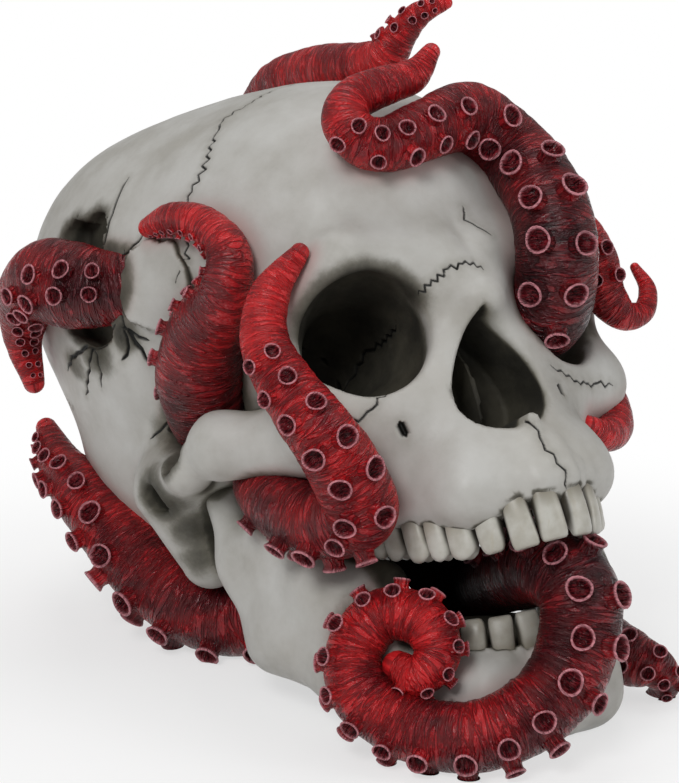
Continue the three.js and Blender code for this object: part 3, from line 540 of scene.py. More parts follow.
# How red each arm is from its root to its tip, at even steps, from maroon at 0 to bright red at 1
TONES = {
    "nape_arm": (0.3, 0.95), "temple_arm": (0.3, 1.0), "cheek_arm": (0.3, 1.05), "brow_arm": (0.12, 0.3, 0.62, 0.98),
    "crown_arm": (0.5, 1.0), "jaw_arm": (0.3, 0.9), "left_temple_arm": (0.55, 0.95), "left_cheek_arm": (0.5, 0.8),
    "mouth_arm": (0.2, 0.2, 0.3, 0.45, 0.6, 0.82, 1.0), "chin_arm": (0.3, 0.75),
}
# Shares of an arm between which the black painted shade on its throat, inside the mouth, fades out
MOUTH_SHADE_SPANS = {"mouth_arm": (0.22, 0.34)}
NO_MOUTH_SHADE = (-1.0, 0.0)
ARM_SIDES = 48
# Distance from ring to ring as a share of the radius, and its limits
RING_SHARE = 0.07
RING_STEPS = (0.4, 0.6)
KNOT_STEPS = 60
# Rings of the rounded tip, in degrees, and how long the tip is in radii
TIP_RINGS = (18, 36, 54, 70, 83)
TIP_LENGTH = 0.95
SUCKER_SIDES = 18
# Radius and pitch of the suckers as shares of the arm's radius, and the turn of each row from the middle
USUAL_SUCKERS = (0.33, 1.22, 27.0)
SUCKERS = {"nape_arm": (0.225, 0.8, 16.0), "temple_arm": (0.2, 0.9, 18.0)}
SMALLEST_SUCKER = 0.45
SUCKER_SLIP, SPREAD_CHANGE, SIZE_CHANGE = (-0.06, 0.06), (0.94, 1.06), (0.93, 1.07)
# Folds of the skin: their depth on an arm of the full radius, the radius of the round they are looked up on, and for
# each kind its strength, its stretch round the arm, its length along it and its seed
FOLD_DEPTH = 0.26
FOLD_FULL_RADIUS = 8.0
FOLD_ROUND = 4.2
FOLDS = [(0.75, 0.3, 1.15, 0), (0.6, 0.36, 2.3, 2), (0.6, 0.5, 5.0, 1)]
FACE_FLATTENING = 0.05


def turned(vector, axis, angle):
    """A vector turned about an axis, both rows of many."""
    c, s = np.cos(angle)[:, None], np.sin(angle)[:, None]
    lift = (vector * axis).sum(axis=1, keepdims=True)
    return vector * c + np.cross(axis, vector) * s + axis * lift * (1.0 - c)


class Arm:
    """Stations close together along a route: centre, heading, side, sucker face, radius and share."""

    def __init__(self, route):
        rows = np.array(route, float)
        knots = rows[:, :3] * HALF_VAULT / 100.0
        ends = np.vstack([2 * knots[0] - knots[1], knots, 2 * knots[-1] - knots[-2]])
        dense, place = [], []
        t = np.linspace(0.0, 1.0, KNOT_STEPS, endpoint=False)[:, None]
        for i in range(len(knots) - 1):
            p0, p1, p2, p3 = ends[i:i + 4]
            d0, d1, d2 = (np.linalg.norm(b - a) ** 0.5 for a, b in ((p0, p1), (p1, p2), (p2, p3)))
            m1 = ((p1 - p0) / d0 - (p2 - p0) / (d0 + d1) + (p2 - p1) / d1) * d1
            m2 = ((p2 - p1) / d1 - (p3 - p1) / (d1 + d2) + (p3 - p2) / d2) * d1
            a = 2 * p1 - 2 * p2 + m1 + m2
            b = -3 * p1 + 3 * p2 - 2 * m1 - m2
            dense.append(((a * t + b) * t + m1) * t + p1)
            place.append(i + t[:, 0])
        dense = np.vstack(dense + [knots[-1:]])
        place = np.concatenate(place + [[len(knots) - 1]])
        run = run_of(dense)
        radius_at = np.interp(place, np.arange(len(rows)), rows[:, 3])
        stops, travelled = [], 0.0
        while travelled < run[-1]:
            stops.append(travelled)
            travelled += np.clip(RING_SHARE * np.interp(travelled, run, radius_at), *RING_STEPS)
        self.run = np.array(stops + [run[-1]])
        self.length = run[-1]
        self.centre = on_run(self.run, run, dense)
        self.radius = np.interp(self.run, run, radius_at)
        self.heading = unit(np.gradient(self.centre, self.run, axis=0))
        sides = []
        for i, (h, c) in enumerate(zip(self.heading, self.centre)):
            side = c if i == 0 else sides[-1]
            if i:
                turn = np.cross(self.heading[i - 1], h)
                side = side + np.cross(turn, side)
            side = side - h * (side @ h)
            sides.append(side / np.linalg.norm(side))
        self.side = np.array(sides)
        angle = np.interp(np.interp(self.run, run, place), np.arange(len(rows)), rows[:, 4])
        self.face_angle = np.radians(angle)
        self.face = turned(self.side, self.heading, self.face_angle)
        self.share = self.run / self.length


PARTS = {name: Arm(route) for name, (_, route) in ARMS.items()}


ARM_REACH = 14.0
EACH_THIRD = slice(0, None, 3)
POINTS_AT_ONCE = 4000
ROOT_SHARES = (0.18, 0.45)


def gap_to_arms(p):
    """For each point the distance to the nearest arm's skin, and how near that arm's root it is."""
    gap, root = np.full(len(p), FAR), np.zeros(len(p))
    for arm in PARTS.values():
        centre, radius, share = arm.centre[EACH_THIRD], arm.radius[EACH_THIRD], arm.share[EACH_THIRD]
        close = np.where(in_box_of(p, arm.centre, arm.radius.max() + ARM_REACH))[0]
        for part in np.array_split(close, max(len(close) // POINTS_AT_ONCE, 1)):
            if not len(part):
                continue
            away = np.linalg.norm(p[part][:, None] - centre[None], axis=2) - radius
            nearest = away.argmin(axis=1)
            best = away[np.arange(len(part)), nearest]
            nearer = best < gap[part]
            gap[part[nearer]] = best[nearer]
            root[part[nearer]] = 1.0 - smooth(*ROOT_SHARES, share[nearest[nearer]])
    return gap, root


def arm_tube(arm, seed):
    """Rings of an arm's skin. The marks are the share of its length, how much a point faces the suckers' side, the
    place on the straightened skin, and a rim and a cup share that only suckers have."""
    turns = np.arange(ARM_SIDES) * 2 * math.pi / ARM_SIDES
    zero = np.zeros(ARM_SIDES)
    rings, marks = [], []
    last = len(arm.run) - 1
    stations = [(i, 0.0, 1.0) for i in range(last + 1)]
    stations += [(last, math.sin(a) * TIP_LENGTH, math.cos(a)) for a in np.radians(TIP_RINGS)]
    for i, ahead, share in stations:
        run, radius = arm.run[i], arm.radius[i]
        h = np.repeat(arm.heading[i:i + 1], ARM_SIDES, axis=0)
        spokes = turned(np.repeat(arm.side[i:i + 1], ARM_SIDES, axis=0), h, turns)
        to_face = np.cos(turns - arm.face_angle[i])
        seat = FOLD_ROUND * spokes @ np.array([[0.0, 1.0, 0.0], [0.0, 0.0, 1.0], [0.0, 0.6, 0.8]])
        seat[:, 0] = run + ahead * radius
        folds = sum(strength * value_noise(seat * (1.0, stretch, stretch), size, seed + more)
                    for strength, stretch, size, more in FOLDS)
        depth = FOLD_DEPTH * np.clip(radius / FOLD_FULL_RADIUS, 0.2, 1.0) * (0.75 - 0.25 * to_face)
        under = np.clip(to_face, 0.0, 1.0)
        reach = radius * share * (1.0 - FACE_FLATTENING * under ** 2) + depth * folds * share
        rings.append(arm.centre[i] + arm.heading[i] * ahead * radius + spokes * reach[:, None])
        marks.append(np.stack([zero + arm.share[i], under, zero + run, radius * np.cos(turns),
                               radius * np.sin(turns), zero, zero], axis=1))
    return np.array(rings), np.array(marks)


# Outline of a sucker: out and up in sucker radii, rim share and cup share
SUCKER_OUTLINE = [
    (1.04, -0.5, 0, 0), (0.94, -0.05, 0, 0), (0.85, 0.22, 0, 0), (0.84, 0.44, 0, 0), (0.92, 0.62, 0.15, 0),
    (0.99, 0.74, 0.8, 0), (1.0, 0.83, 1, 0), (0.93, 0.89, 1, 0), (0.84, 0.86, 0.8, 0.25), (0.77, 0.72, 0.1, 0.9),
    (0.7, 0.46, 0, 1), (0.56, 0.22, 0, 1), (0.34, 0.1, 0, 1), (0.12, 0.08, 0, 1)]
# Rim and cup shares of all points of a sucker, with the middles of its foot and of its cup last
SUCKER_SHARES = np.vstack([np.repeat(np.array(SUCKER_OUTLINE)[:, 2:], SUCKER_SIDES, axis=0), [[0.0, 0.0], [0.0, 0.6]]])
SUCKER_UNDER = 0.6
SUCKER_SEAT = 0.97
# Waves round a sucker: how many and how high in sucker radii
WOBBLES = ((2, 0.05), (3, 0.03))
RIB_HEIGHT = 0.07


def capped_tube(rings, first):
    """Points and faces of a tube through rings of points, with a fan at each end."""
    count, sides = rings.shape[:2]
    hub = first + count * sides
    r, s = np.meshgrid(np.arange(count - 1), np.arange(sides), indexing="ij")
    a = first + r * sides + s
    b = first + r * sides + (s + 1) % sides
    faces = np.stack([a, b, b + sides, a + sides], axis=-1).reshape(-1, 4).tolist()
    for s in range(sides):
        after = (s + 1) % sides
        faces += [[hub, first + after, first + s], [hub + 1, hub - sides + s, hub - sides + after]]
    return [rings.reshape(-1, 3), rings[:1].mean(axis=1), rings[-1:].mean(axis=1)], faces


def sucker_rings(size, rng):
    turns = np.arange(SUCKER_SIDES) * 2 * math.pi / SUCKER_SIDES
    wobble = 1.0 + sum(high * np.cos(count * turns + rng.uniform(0, 6)) for count, high in WOBBLES)
    rings = []
    for out, up, _, cup in SUCKER_OUTLINE:
        ribs = RIB_HEIGHT * cup * np.cos(turns * SUCKER_SIDES / 2)
        radius = size * out * wobble
        rings.append(np.stack([radius * np.cos(turns), radius * np.sin(turns), size * (up + ribs)], axis=1))
    return np.array(rings)


def suckers_of(arm, start, stop, kind, rng):
    """Cups in two rows along the face of an arm, smaller towards the tip."""
    found, last = [], None
    size, pitch, half_spread = kind
    spots = arm.centre + arm.face * arm.radius[:, None]
    for i in range(len(arm.run)):
        radius = arm.radius[i]
        in_span = start * arm.length <= arm.run[i] < stop * arm.length - 1.0
        near = last is not None and np.linalg.norm(spots[i] - last) < radius * pitch
        if not in_span or near or radius * size < SMALLEST_SUCKER:
            continue
        last = spots[i]
        for sign in (-1.0, 1.0):
            slip = arm.run[i] + rng.uniform(*SUCKER_SLIP) * radius
            j = int(np.clip(np.searchsorted(arm.run, slip), 0, len(arm.run) - 1))
            spread = math.radians(sign * half_spread * rng.uniform(*SPREAD_CHANGE))
            out = turned(arm.face[j:j + 1], arm.heading[j:j + 1], np.array([spread]))[0]
            found.append((j, out, radius * size * rng.uniform(*SIZE_CHANGE)))
    return found


# ---- meshes
def new_piece(name, points, faces, marks):
    mesh = bpy.data.meshes.new(name)
    mesh.from_pydata(points.tolist(), [], faces)
    dress(mesh, marks)
    return place_piece(name, mesh)


def dress(mesh, marks):
    for label, values in marks.items():
        kind, slot = ("FLOAT", "value") if values.ndim == 1 else ("FLOAT_VECTOR", "vector")
        layer = mesh.attributes.new(label, kind, "POINT")
        layer.data.foreach_set(slot, np.ascontiguousarray(values, np.float32).ravel())
    mesh.polygons.foreach_set("use_smooth", np.ones(len(mesh.polygons), bool))
    mesh.validate()
    mesh.update()


def place_piece(name, mesh):
    piece = bpy.data.objects.new(name, mesh)
    bpy.context.collection.objects.link(piece)
    return piece


def mesh_points(mesh):
    flat = np.empty(len(mesh.vertices) * 3)
    mesh.vertices.foreach_get("co", flat)
    return flat.reshape(-1, 3)


# ---- teeth
TOOTH_SIDES = 28
CROWN_FIT = 0.955
TOOTH_TILT, TOOTH_UNEVEN = (-0.03, 0.03), (-0.35, 0.25)
# Depth of the first crown and what it grows by along the row, how crowns narrow inwards, and their cusps
CROWN_DEPTH, CROWN_DEPTH_GROWTH, CROWN_NARROWING, CUSP_HEIGHT = 5.6, 1.4, 0.045, 0.5
# Shares of the height of each ring, then for each kind the widths and depths of the rings and how square they are
CROWN_LEVELS = [0.0, 0.14, 0.28, 0.42, 0.56, 0.7, 0.82, 0.91, 0.965, 0.99]
CROWNS = {
    "cutting": ([0.74, 0.82, 0.89, 0.94, 0.97, 0.985, 0.985, 0.96, 0.9, 0.78],
                [0.62, 0.84, 0.97, 1.0, 0.95, 0.84, 0.7, 0.56, 0.42, 0.26], 2.5),
    "pointed": ([0.74, 0.83, 0.9, 0.95, 0.98, 0.97, 0.93, 0.84, 0.7, 0.5],
                [0.66, 0.86, 0.98, 1.0, 0.97, 0.88, 0.74, 0.58, 0.42, 0.24], 2.4),
    "grinding": ([0.74, 0.83, 0.91, 0.96, 0.985, 0.985, 0.97, 0.92, 0.82, 0.62],
                 [0.7, 0.86, 0.96, 1.0, 1.0, 0.97, 0.92, 0.82, 0.68, 0.48], 2.5),
}


def crown(row, i, width, height, spot, heading, mirror, tooth_rng):
    """Rings of a crown, with the level of each point and how near it is to the next tooth."""
    kind = "cutting" if i < 2 else "pointed" if i == 2 else "grinding"
    wides, deeps, square = CROWNS[kind]
    depth = CROWN_DEPTH + CROWN_DEPTH_GROWTH * i / len(row.widths)
    tilt = tooth_rng.uniform(*TOOTH_TILT)
    height = height + tooth_rng.uniform(*TOOTH_UNEVEN)
    turns = np.arange(TOOTH_SIDES) * 2 * math.pi / TOOTH_SIDES
    c, s = np.cos(turns), np.sin(turns)
    rings, marks = [], []
    for level, wide, deep in zip(CROWN_LEVELS, wides, deeps):
        along = np.sign(c) * np.abs(c) ** (2 / square) * width * wide * CROWN_FIT / 2
        inward = np.sign(s) * np.abs(s) ** (2 / square) * depth * deep / 2 - row.lean * min(level * 1.1, 1.0)
        along = along * (1.0 - CROWN_NARROWING * inward) + tilt * level * height
        bump = 0.0
        if kind == "grinding":
            bump = -CUSP_HEIGHT * np.cos(2 * turns) * smooth(0.7, 1.0, np.array(level))
        x = spot[0] + heading[0] * along - heading[1] * inward
        y = spot[1] + heading[1] * along + heading[0] * inward
        z = row.gum + row.rises[i] + row.biting * (level * height + bump)
        rings.append(np.stack([mirror * x, y, z + 0.0 * x], axis=1))
        marks.append(np.stack([np.full(TOOTH_SIDES, level), np.abs(c) ** 3], axis=1))
    return np.array(rings), np.array(marks)


def tooth_piece(name, row, place):
    tooth_rng = np.random.default_rng(SEED + 90 + row.biting)
    points, faces, mark_rows = [], [], []
    for tooth in row.teeth():
        for mirror in (1.0, -1.0):
            rings, marks = crown(row, *tooth, mirror, tooth_rng)
            spots, made = capped_tube(rings, sum(map(len, points)))
            points += spots
            faces += made if mirror * row.biting > 0 else [face[::-1] for face in made]
            mark_rows += [marks.reshape(-1, 2), [[0.0, 0.0], [1.0, 0.0]]]
    level, side = np.vstack(mark_rows).T
    skull_points = place(np.vstack(points))
    tooth_spots.extend(skull_points[level > BARE_LEVEL].tolist())
    # Marks for painted shade with grime at the necks of the teeth and between them
    return new_piece(name, placed(skull_points), faces, {
        "neck": 1.0 - smooth(0.28, 0.6, level), "between": side * (1.0 - 0.5 * smooth(0.6, 1.0, level))})


# The gum round the part of a tooth above this level is darkened: painted shade where tooth meets bone, with grime
BARE_LEVEL = 0.25
TOOTH_REACH = 3.0
pieces = {}
tooth_spots = []
pieces["upper_teeth"] = tooth_piece("skull_upper_teeth", UPPER, lambda p: p)
pieces["lower_teeth"] = tooth_piece("skull_lower_teeth", LOWER, open_jaw)
TOOTH_TREE = KDTree(len(tooth_spots))
for number, spot in enumerate(tooth_spots):
    TOOTH_TREE.insert(spot, number)
TOOTH_TREE.balance()


def gap_to_teeth(p):
    gap = np.full(len(p), FAR)
    close = in_box_of(p, np.array(tooth_spots), TOOTH_REACH)
    gap[close] = [TOOTH_TREE.find(spot)[2] for spot in p[close]]
    return gap


# ---- bones as meshes
# Painted shade with dirt lies round these places: the place, how far it reaches in millimetres and how strong it is
DIRT_AND_SHADE = [
    ((-94, -2, -76), 12.0, 0.95), ((-82, 0, -93), 11.0, 0.7), ((-80, 5, -104), 9.0, 0.6), ((-83, 1, -47), 7.0, 0.5),
    ((66, -74, -54), 12.0, 0.7), ((-99, 10, -3), 11.0, 0.85), ((-96, -7, -4), 8.0, 0.85), ((-99, 28, -2), 8.0, 0.6)]
BREAK_DIRT_AND_SHADE, BREAK_DIRT_AND_SHADE_REACH, BREAK_DIRT_AND_SHADE_DEPTH = 0.62, 4.0, 6.0
# How far out from the bone to look for other bone, and how much each look counts, for the painted shade in hollows
HOLLOW_LOOKS = ((2.5, 0.2), (6.0, 0.3), (12.0, 0.3), (20.0, 0.2))
# Unevenness of the bone: height, size and seed
RELIEF = ((0.1, 9.0, SEED), (0.05, 3.6, SEED + 1))
THINNEST = 0.05


def dirt_and_shade_on(p, depth):
    """Dark round the eyes, in the nose and at broken places, for points sunk to a depth: painted shade in these
    hollows, with dirt.
    """
    dirt_and_shade = np.zeros(len(p))
    for place, reach, strength in DIRT_AND_SHADE:
        away = np.linalg.norm(p - at(*place), axis=1)
        dirt_and_shade = np.maximum(dirt_and_shade, strength * (1.0 - smooth(0.15 * reach, reach, away)))
    # Painted shade on the upper part of each eye socket, under the brow
    upper_rim = smooth(at(0, 0, -52)[2], at(0, 0, -34)[2], p[:, 2])
    round_eye = ball(mirrored(p), *EYE_SOCKET)
    dirt_and_shade = np.maximum(dirt_and_shade, 0.8 * (1.0 - smooth(0.0, 6.0, round_eye)) * upper_rim)
    # Painted shade on the walls inside the nose
    in_nose = 1.0 - smooth(0.3, 1.4, nose_opening(p + NOSE_SHIFT))
    dirt_and_shade = np.maximum(dirt_and_shade, in_nose * smooth(0.3, 1.8, depth))
    # Painted shade with dirt round and inside the broken places
    for floor_depth, outline in BREAKS:
        rim, height = broken_edge(p, BREAK_RAGGED, *outline)
        near = height > -floor_depth - BREAK_DIRT_AND_SHADE_DEPTH
        dirt_and_shade = np.maximum(dirt_and_shade, BREAK_DIRT_AND_SHADE * (1.0 - smooth(-0.5, BREAK_DIRT_AND_SHADE_REACH, rim)) * near)
    return dirt_and_shade


def mouth_grime_and_shade(p):
    """Painted shade with some grime inside the mouth: black on the jaw there, with places in percent as for at()."""
    closed = closed_jaw(p) / HALF_VAULT * 100.0
    cheeks = (1.0 - smooth(50.0, 57.0, np.abs(closed[:, 0]))) * smooth(-76.0, -66.0, closed[:, 2])
    in_row = np.hypot(closed[:, 0] / 39.0, (closed[:, 1] + 38.0) / 46.0)
    bottom = (1.0 - smooth(0.8, 0.97, in_row)) * smooth(-97.0, -92.0, closed[:, 2])
    corner = np.linalg.norm(mirrored(closed_jaw(p)) - at(55, -57, -62), axis=1)
    return np.maximum(np.maximum(cheeks, bottom), 0.9 * (1.0 - smooth(2.0, 13.0, corner)))


def refined(mesh, chosen):
    """A mesh with the edges at chosen points halved, and no holes left."""
    work = bmesh.new()
    work.from_mesh(mesh)
    edges = [e for e in work.edges if chosen[e.verts[0].index] or chosen[e.verts[1].index]]
    bmesh.ops.subdivide_edges(work, edges=edges, cuts=1, use_grid_fill=True)
    bmesh.ops.holes_fill(work, edges=[e for e in work.edges if e.is_boundary], sides=0)
    work.to_mesh(mesh)
    work.free()
    return mesh


def bone(name, form, mass, mouth_grime_and_shade_share, low, high, paths):
    """A bone's skin with its lines carved in, and marks for its paint, painted shade among them. The mass is the form
    before it is hollowed, and the share after it is how strongly the painted shade and grime blacken the bone inside
    the mouth."""
    points, faces = skin(form, low, high, BONE_STEP)
    mesh = bpy.data.meshes.new(name)
    mesh.from_pydata(points.tolist(), [], faces.tolist())
    refined(mesh, np.ones(len(points), bool))
    for band in LINE_BANDS:
        if paths:
            refined(mesh, line_marks(settled(form, mesh_points(mesh), 1), paths)[0] < band)
    p = settled(form, mesh_points(mesh), 3)
    # How much other bone crowds round each point, for painted shade in hollows
    out = unit(slope_of(form, p))
    hollow = np.zeros(len(p))
    for reach, weight in HOLLOW_LOOKS:
        clear = bones_form(p + out * reach) / reach
        hollow += weight * np.clip(1.0 - clear, 0.0, 1.0)
    gap, root = gap_to_arms(p)
    distance, half, deep = line_marks(p, paths)
    groove = 1.0 - smooth(0.0, 1.0, distance / np.maximum(half * 1.5, THINNEST))
    relief = sum(high * value_noise(p, size, seed) for high, size, seed in RELIEF)
    middle_out = p - at(0, -46, 0)
    middle_out[:, 2] = 0.0
    inner = -(out * middle_out).sum(axis=1) / np.maximum(np.linalg.norm(middle_out, axis=1), 1.0)
    # Painted shade: darker the deeper a point lies below the un-hollowed form, in sockets, nose and ear holes, and
    # black on the jaw inside the mouth
    sunk_shade = smooth(0.3, 4.8, -mass(p)) + np.maximum(0.9 * smooth(0.1, 0.6, inner), mouth_grime_and_shade(p)) * mouth_grime_and_shade_share
    # Painted shade with grime where gum meets tooth
    gum_grime_and_shade = 0.75 * (1.0 - smooth(0.3, 1.3, gap_to_teeth(p)))
    # Painted shade in hollows and where an arm comes out of the bone
    hollow_and_arm_shade = smooth(0.46, 0.9, hollow) + 0.7 * root * (1.0 - smooth(0.0, 4.5, gap))
    marks = {
        # Dirt at listed places together with painted shade in hollows, the mouth, round the teeth and at arm roots
        "grime_and_shade": np.maximum(np.maximum(sunk_shade, gum_grime_and_shade), np.maximum(hollow_and_arm_shade, dirt_and_shade_on(p, -mass(p)))),
        # Painted shade where other bone crowds round
        "hollow_shade": smooth(0.2, 0.6, hollow),
        "crack": (1.0 - smooth(0.55, 1.25, distance / np.maximum(half, THINNEST))) * (deep > 0),
        "halo": 0.5 * (1.0 - smooth(0.0, 2.6, distance)) * (deep > 0),
        "stain": 1.0 - smooth(0.3, 5.0, gap),
    }
    carved = p + out * (relief - deep * groove)[:, None]
    mesh.vertices.foreach_set("co", placed(carved).ravel())
    dress(mesh, marks)
    return place_piece(name, mesh)


rng = np.random.default_rng(SEED)
LINE_PATHS = [(crack_path(cranium_form, wander, step, places, rng), half, deep)
              for wander, step, half, deep, places in LINES.values()]

pieces["cranium"] = bone("skull_cranium", cranium_form, cranium_mass, 0.0,
                         at(-108, -120, -136), at(108, 114, 116), LINE_PATHS)
pieces["mandible"] = bone("skull_mandible", mandible_form, mandible_form, 1.0,
                          at(-90, -122, -222), at(90, 10, -60), [])

for number, (name, (span, _)) in enumerate(ARMS.items()):
    arm = PARTS[name]
    arm_rng = np.random.default_rng(SEED + 10 + number)
    rings, marks = arm_tube(arm, SEED + 20 + number * 3)
    points, faces = capped_tube(rings, 0)
    flat = marks.reshape(-1, marks.shape[-1])
    mark_rows = [flat, flat[:1], flat[-1:]]
    for j, out, size in suckers_of(arm, *span, SUCKERS.get(name, USUAL_SUCKERS), arm_rng):
        cup = sucker_rings(size, arm_rng)
        axes = np.stack([arm.heading[j], np.cross(out, arm.heading[j]), out])
        seat = arm.centre[j] + out * arm.radius[j] * SUCKER_SEAT
        spots, made = capped_tube(cup @ axes + seat, sum(map(len, points)))
        points += spots
        faces += made
        on_skin = np.vstack([cup.reshape(-1, 3), np.zeros((2, 3))]) + (arm.run[j], 0.0, arm.radius[j])
        both = np.full((len(on_skin), 2), (arm.share[j], SUCKER_UNDER))
        mark_rows.append(np.hstack([both, on_skin, SUCKER_SHARES]))
    share, under, *on_skin, rim, cup = np.vstack(mark_rows).T
    pieces[name] = new_piece("octopus_" + name, placed(np.vstack(points)), faces, {
        "tone": np.interp(share, np.linspace(0.0, 1.0, len(TONES[name])), TONES[name]), "under": under,
        # Painted shade: black over the arm's throat inside the mouth
        "painted_mouth_shade": 1.0 - smooth(*MOUTH_SHADE_SPANS.get(name, NO_MOUTH_SHADE), share),
        "skin": np.stack(on_skin, axis=1), "rim": rim, "cup": cup})

# ---- materials
class Paint:
    """A node material with its surface shader, and short ways to add and link nodes."""

    def __init__(self, name):
        self.material = bpy.data.materials.new(name)
        self.material.use_nodes = True
        self.nodes = self.material.node_tree.nodes
        self.shader = self.nodes["Principled BSDF"]
        self.base = None

    def fill(self, node, inputs):
        for label, value in inputs.items():
            if isinstance(value, bpy.types.NodeSocket):
                self.material.node_tree.links.new(value, node.inputs[label])
            elif value is not None:
                node.inputs[label].default_value = value
        return node

    def node(self, kind, inputs={}, **settings):
        node = self.nodes.new("ShaderNode" + kind)
        for label, value in settings.items():
            setattr(node, label, value)
        return self.fill(node, inputs)

    def mark(self, label, output="Fac"):
        return self.node("Attribute", attribute_name=label).outputs[output]

    def place(self):
        return self.node("TexCoord").outputs["Object"]

    def noise(self, vector, scale, detail=4.0, roughness=0.55, distortion=0.0):
        return self.node("TexNoise", {"Vector": vector, "Scale": scale, "Detail": detail, "Roughness": roughness,
                                      "Distortion": distortion}).outputs["Fac"]

    def math(self, how, a, b=None, c=None):
        return self.node("Math", {0: a, 1: b, 2: c}, operation=how).outputs[0]

    def times(self, a, b):
        return self.math("MULTIPLY", a, b)

    def spread(self, value, low, high, to_low=0.0, to_high=1.0):
        inputs = dict(enumerate((value, low, high, to_low, to_high)))
        return self.node("MapRange", inputs, interpolation_type="SMOOTHSTEP").outputs[0]

    def stretch(self, vector, scale):
        return self.node("Mapping", {"Vector": vector, "Scale": scale}).outputs[0]

    def mix(self, share, a, b):
        return self.node("Mix", {0: share, 6: a, 7: b}, data_type="RGBA").outputs[2]

    def layer(self, share, r, g, b):
        """A colour over what is there so far."""
        self.base = self.mix(share, self.base, colour(r, g, b))

    def ramp(self, value, stops):
        node = self.node("ValToRGB", {0: value})
        points = node.color_ramp.elements
        while len(points) < len(stops):
            points.new(0.5)
        for point, (place, tint) in zip(points, stops):
            point.position, point.color = place, tint
        return node.outputs[0]

    def bump(self, height, strength, distance, under=None):
        inputs = {"Height": height, "Strength": strength, "Distance": distance, "Normal": under}
        return self.node("Bump", inputs).outputs[0]

    def finish(self, roughness, normal, specular):
        self.fill(self.shader, {"Base Color": self.base, "Roughness": roughness, "Normal": normal,
                                "Specular IOR Level": specular})
        return self.material

    def cover(self, share, shader):
        """Another shader over this paint where the share is high."""
        both = self.node("MixShader", {0: share, 1: self.shader.outputs[0], 2: shader.outputs[0]})
        self.fill(self.nodes["Material Output"], {"Surface": both.outputs[0]})
        return self.material


def colour(r, g, b):
    return (r, g, b, 1.0)


def bone_paint():
    paint = Paint("cast_bone")
    place = paint.place()
    cloud = paint.noise(place, 55.0, 5.0, 0.6)
    grain = paint.noise(place, 420.0, 3.0, 0.6)
    paint.base = paint.ramp(cloud, [(0.3, colour(0.40, 0.385, 0.35)), (0.5, colour(0.49, 0.48, 0.45)),
                                    (0.7, colour(0.56, 0.555, 0.53))])
    warm = paint.spread(paint.noise(place, 22.0, 3.0), 0.5, 0.72, 0.0, 0.25)
    paint.layer(warm, 0.47, 0.445, 0.385)
    specks = paint.spread(paint.noise(place, 900.0, 2.0), 0.68, 0.82, 0.0, 0.2)
    paint.layer(specks, 0.34, 0.32, 0.27)
    # Painted shade: an olive-dark wash where other bone crowds round
    hollow_shade = paint.times(paint.mark("hollow_shade"), paint.spread(cloud, 0.3, 0.65, 0.75, 0.35))
    paint.layer(hollow_shade, 0.22, 0.205, 0.155)
    stain = paint.times(paint.mark("stain"), paint.spread(cloud, 0.3, 0.65, 0.15, 0.4))
    paint.layer(stain, 0.40, 0.17, 0.155)
    halo = paint.times(paint.mark("halo"), paint.spread(grain, 0.3, 0.7, 0.3, 0.8))
    paint.layer(halo, 0.20, 0.185, 0.145)
    # Grime and painted shade: an olive layer, then near black with a ragged edge, and rougher there
    rough_edge = paint.math("MULTIPLY_ADD", paint.noise(place, 130.0, 5.0, 0.65), 0.7, -0.35)
    grime_and_shade = paint.math("ADD", paint.mark("grime_and_shade"), rough_edge)
    olive = paint.times(paint.spread(grime_and_shade, 0.05, 0.6), 0.8)
    paint.layer(olive, 0.115, 0.105, 0.075)
    grime_and_shade = paint.times(paint.spread(grime_and_shade, 0.25, 1.0), 0.97)
    grime_and_shade_tone = paint.mix(paint.spread(cloud, 0.35, 0.7), colour(0.016, 0.0145, 0.010), colour(0.062, 0.056, 0.039))
    paint.base = paint.mix(grime_and_shade, paint.base, grime_and_shade_tone)
    paint.layer(paint.mark("crack"), 0.003, 0.003, 0.002)
    rough = paint.math("ADD", paint.spread(grain, 0.3, 0.7, 0.42, 0.58), paint.times(grime_and_shade, 0.3))
    normal = paint.bump(grain, 0.12, 0.0004, paint.bump(cloud, 0.15, 0.0012))
    return paint.finish(rough, normal, 0.4)


def enamel_paint(name, light, deep):
    paint = Paint(name)
    place = paint.place()
    cloud = paint.noise(place, 160.0, 4.0)
    streak = paint.noise(paint.stretch(place, (700.0, 700.0, 90.0)), 1.0, 3.0)
    paint.base = paint.mix(paint.spread(cloud, 0.35, 0.7), deep, light)
    paint.layer(paint.spread(streak, 0.58, 0.75, 0.0, 0.25), 0.42, 0.36, 0.24)
    # Painted shade with grime: darker round the neck of each tooth and on its sides towards the next tooth
    neck = paint.times(paint.mark("neck"), paint.spread(cloud, 0.25, 0.7, 0.4, 0.85))
    paint.layer(neck, 0.17, 0.14, 0.09)
    gaps = paint.times(paint.spread(paint.mark("between"), 0.28, 0.85), 0.92)
    paint.layer(gaps, 0.035, 0.028, 0.018)
    rough = paint.spread(cloud, 0.3, 0.7, 0.3, 0.45)
    return paint.finish(rough, paint.bump(streak, 0.1, 0.0003), 0.5)


